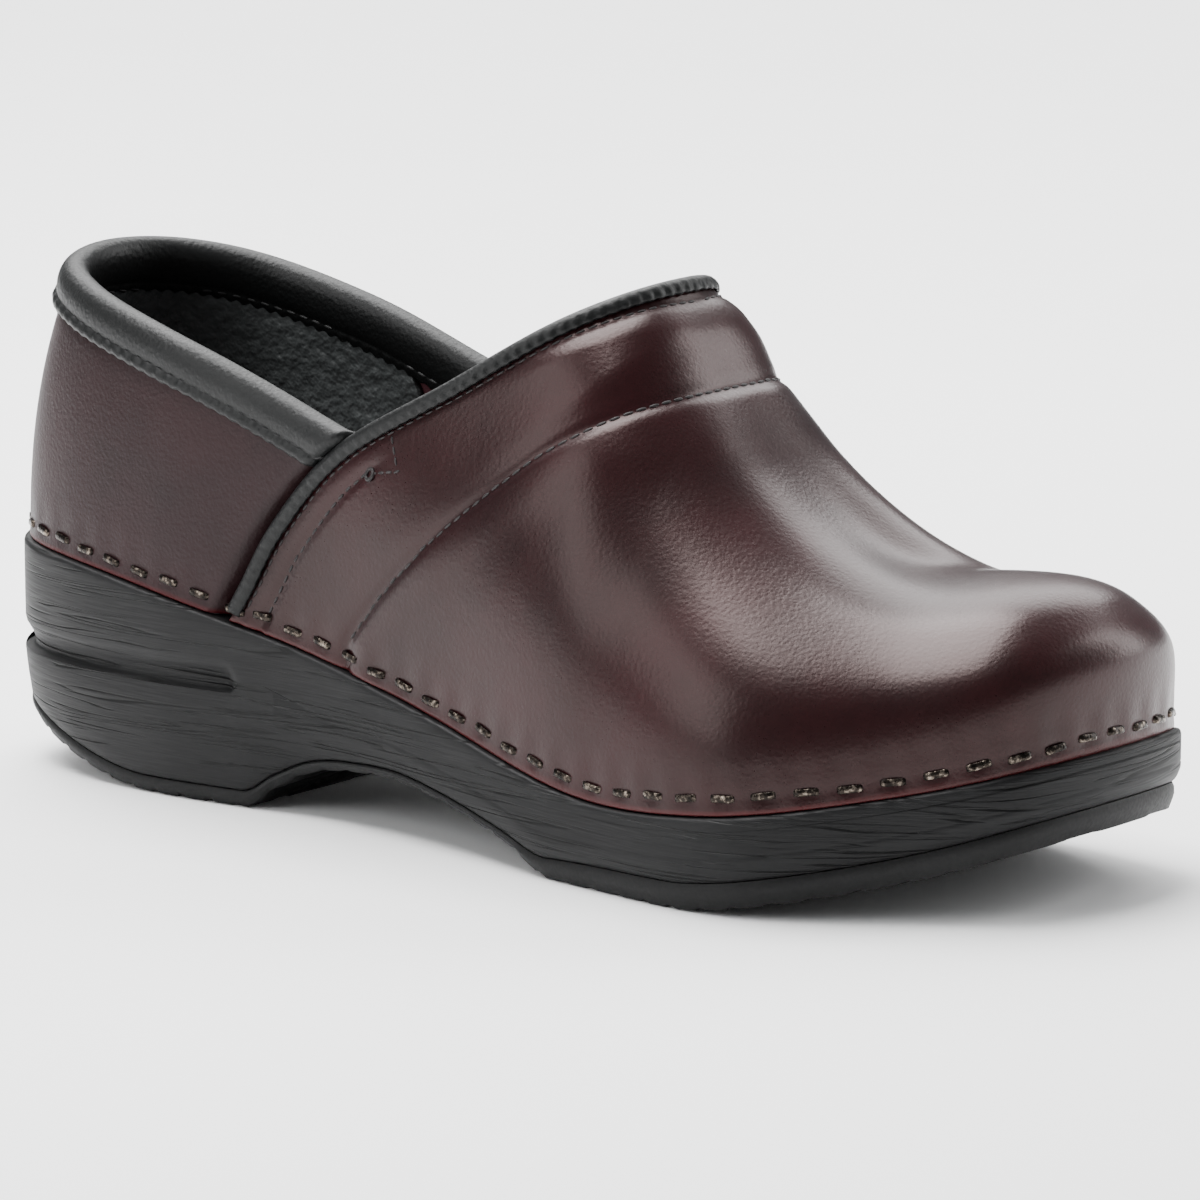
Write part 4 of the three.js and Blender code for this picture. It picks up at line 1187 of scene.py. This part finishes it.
KNOT_RING, KNOT_THREAD = 1.15, 0.42
ring_turn = np.linspace(0, 2 * np.pi, 25)
for name, side in (("outer", -1), ("inner", 1)):
    s, v = closing_line(side)
    stitched(f"{name}_tack_stitches", last(s, v), normal_at(s, v), [skins["vamp"]], 2.2,
             (1.8, 0.6, 0.5), 0.0, thread)
    place, out = snapped(last(s[:1], v[:1])[0], normal_at(s[:1], v[:1])[0], [skins["vamp"]])
    along = unit(np.cross(out, [0, 0, 1.0]))
    other = np.cross(out, along)
    outward = np.outer(np.cos(ring_turn), along) + np.outer(np.sin(ring_turn), other)
    round_thread = np.linspace(0, 2 * np.pi, 9)[:-1]
    section = [(KNOT_THREAD * math.cos(a), KNOT_THREAD * math.sin(a)) for a in round_thread]
    bm = welded(swept(place + out * 0.1 + KNOT_RING * outward, outward,
                      np.tile(out, (len(ring_turn), 1)), section))
    piece(f"{name}_tack_knot", bm, [thread])
print("tacks made")

# %% [markdown]
# ## Floor, light and camera
# A pale floor and four large soft lamps: one overhead for the long highlights on the vamp and
# the toe, one at the left for the quarter, a weaker one at the right that draws the toe's
# edge, and one that lights the floor behind the shoe. The camera stands well back with a long
# lens, low beside the outer side of the shoe.

# %% Stage
def stage_floor():
    bm = bmesh.new()
    bmesh.ops.create_grid(bm, x_segments=2, y_segments=2, size=8)
    mesh = bpy.data.meshes.new("floor")
    bm.to_mesh(mesh)
    bm.free()
    made = bpy.data.objects.new("floor", mesh)
    bpy.context.scene.collection.objects.link(made)
    mesh.materials.append(finish_of("white_painted_floor", [(0.3, "f6f6f6"), (0.7, "fafafa")], 400,
                                    [("Noise", 40, 0.02)], (0.7, 0.8)))


def soft_lamp(name, place, size, power):
    data = bpy.data.lights.new(name, "AREA")
    data.shape = "RECTANGLE"
    data.size, data.size_y = size
    data.energy = power
    lamp = bpy.data.objects.new(name, data)
    lamp.location = Vector(place)
    lamp.rotation_euler = (Vector(place) - TARGET).to_track_quat("Z", "Y").to_euler()
    bpy.context.scene.collection.objects.link(lamp)


AZIMUTH, ELEVATION, DISTANCE = math.radians(37.78), math.radians(10.9), 1.4
TARGET = Vector((0.0091, 0.0049, 0.0458))
LENS, SENSOR = 207.9, 36
back = Vector((math.sin(AZIMUTH) * math.cos(ELEVATION), -math.cos(AZIMUTH) * math.cos(ELEVATION),
               math.sin(ELEVATION)))
right = Vector((math.cos(AZIMUTH), math.sin(AZIMUTH), 0))
stage_floor()
soft_lamp("overhead", TARGET + Vector((0, 0, 1.2)) - 0.3 * right - 0.2 * back, (1.1, 0.8), 48)
soft_lamp("left", TARGET - 1.2 * right + 0.6 * back + Vector((0, 0, 0.5)), (0.7, 1.0), 11)
soft_lamp("right", TARGET + 1.1 * right - 0.3 * back + Vector((0, 0, 0.5)), (0.35, 0.9), 9)
behind = TARGET - 2.0 * back + Vector((0, 0, 1.9))
soft_lamp("backdrop", behind, (3.0, 2.0), 130)
bpy.data.objects["backdrop"].rotation_euler = (0, 0, AZIMUTH)
world = bpy.data.worlds.new("studio")
world.use_nodes = True
world.node_tree.nodes["Background"].inputs["Color"].default_value = linear("d8dadc")
world.node_tree.nodes["Background"].inputs["Strength"].default_value = 0.42
bpy.context.scene.world = world
camera_data = bpy.data.cameras.new("camera")
camera_data.lens = LENS
camera_data.sensor_width = SENSOR
camera = bpy.data.objects.new("camera", camera_data)
camera.location = TARGET + back * DISTANCE
camera.rotation_euler = back.to_track_quat("Z", "Y").to_euler()
bpy.context.scene.collection.objects.link(camera)
bpy.context.scene.camera = camera

# %% [markdown]
# ## Count
# The number of finished pieces and of their faces is printed.

# %% Finish
print("pieces", len(pieces), "faces", sum(len(o.data.polygons) for o in pieces.values()))
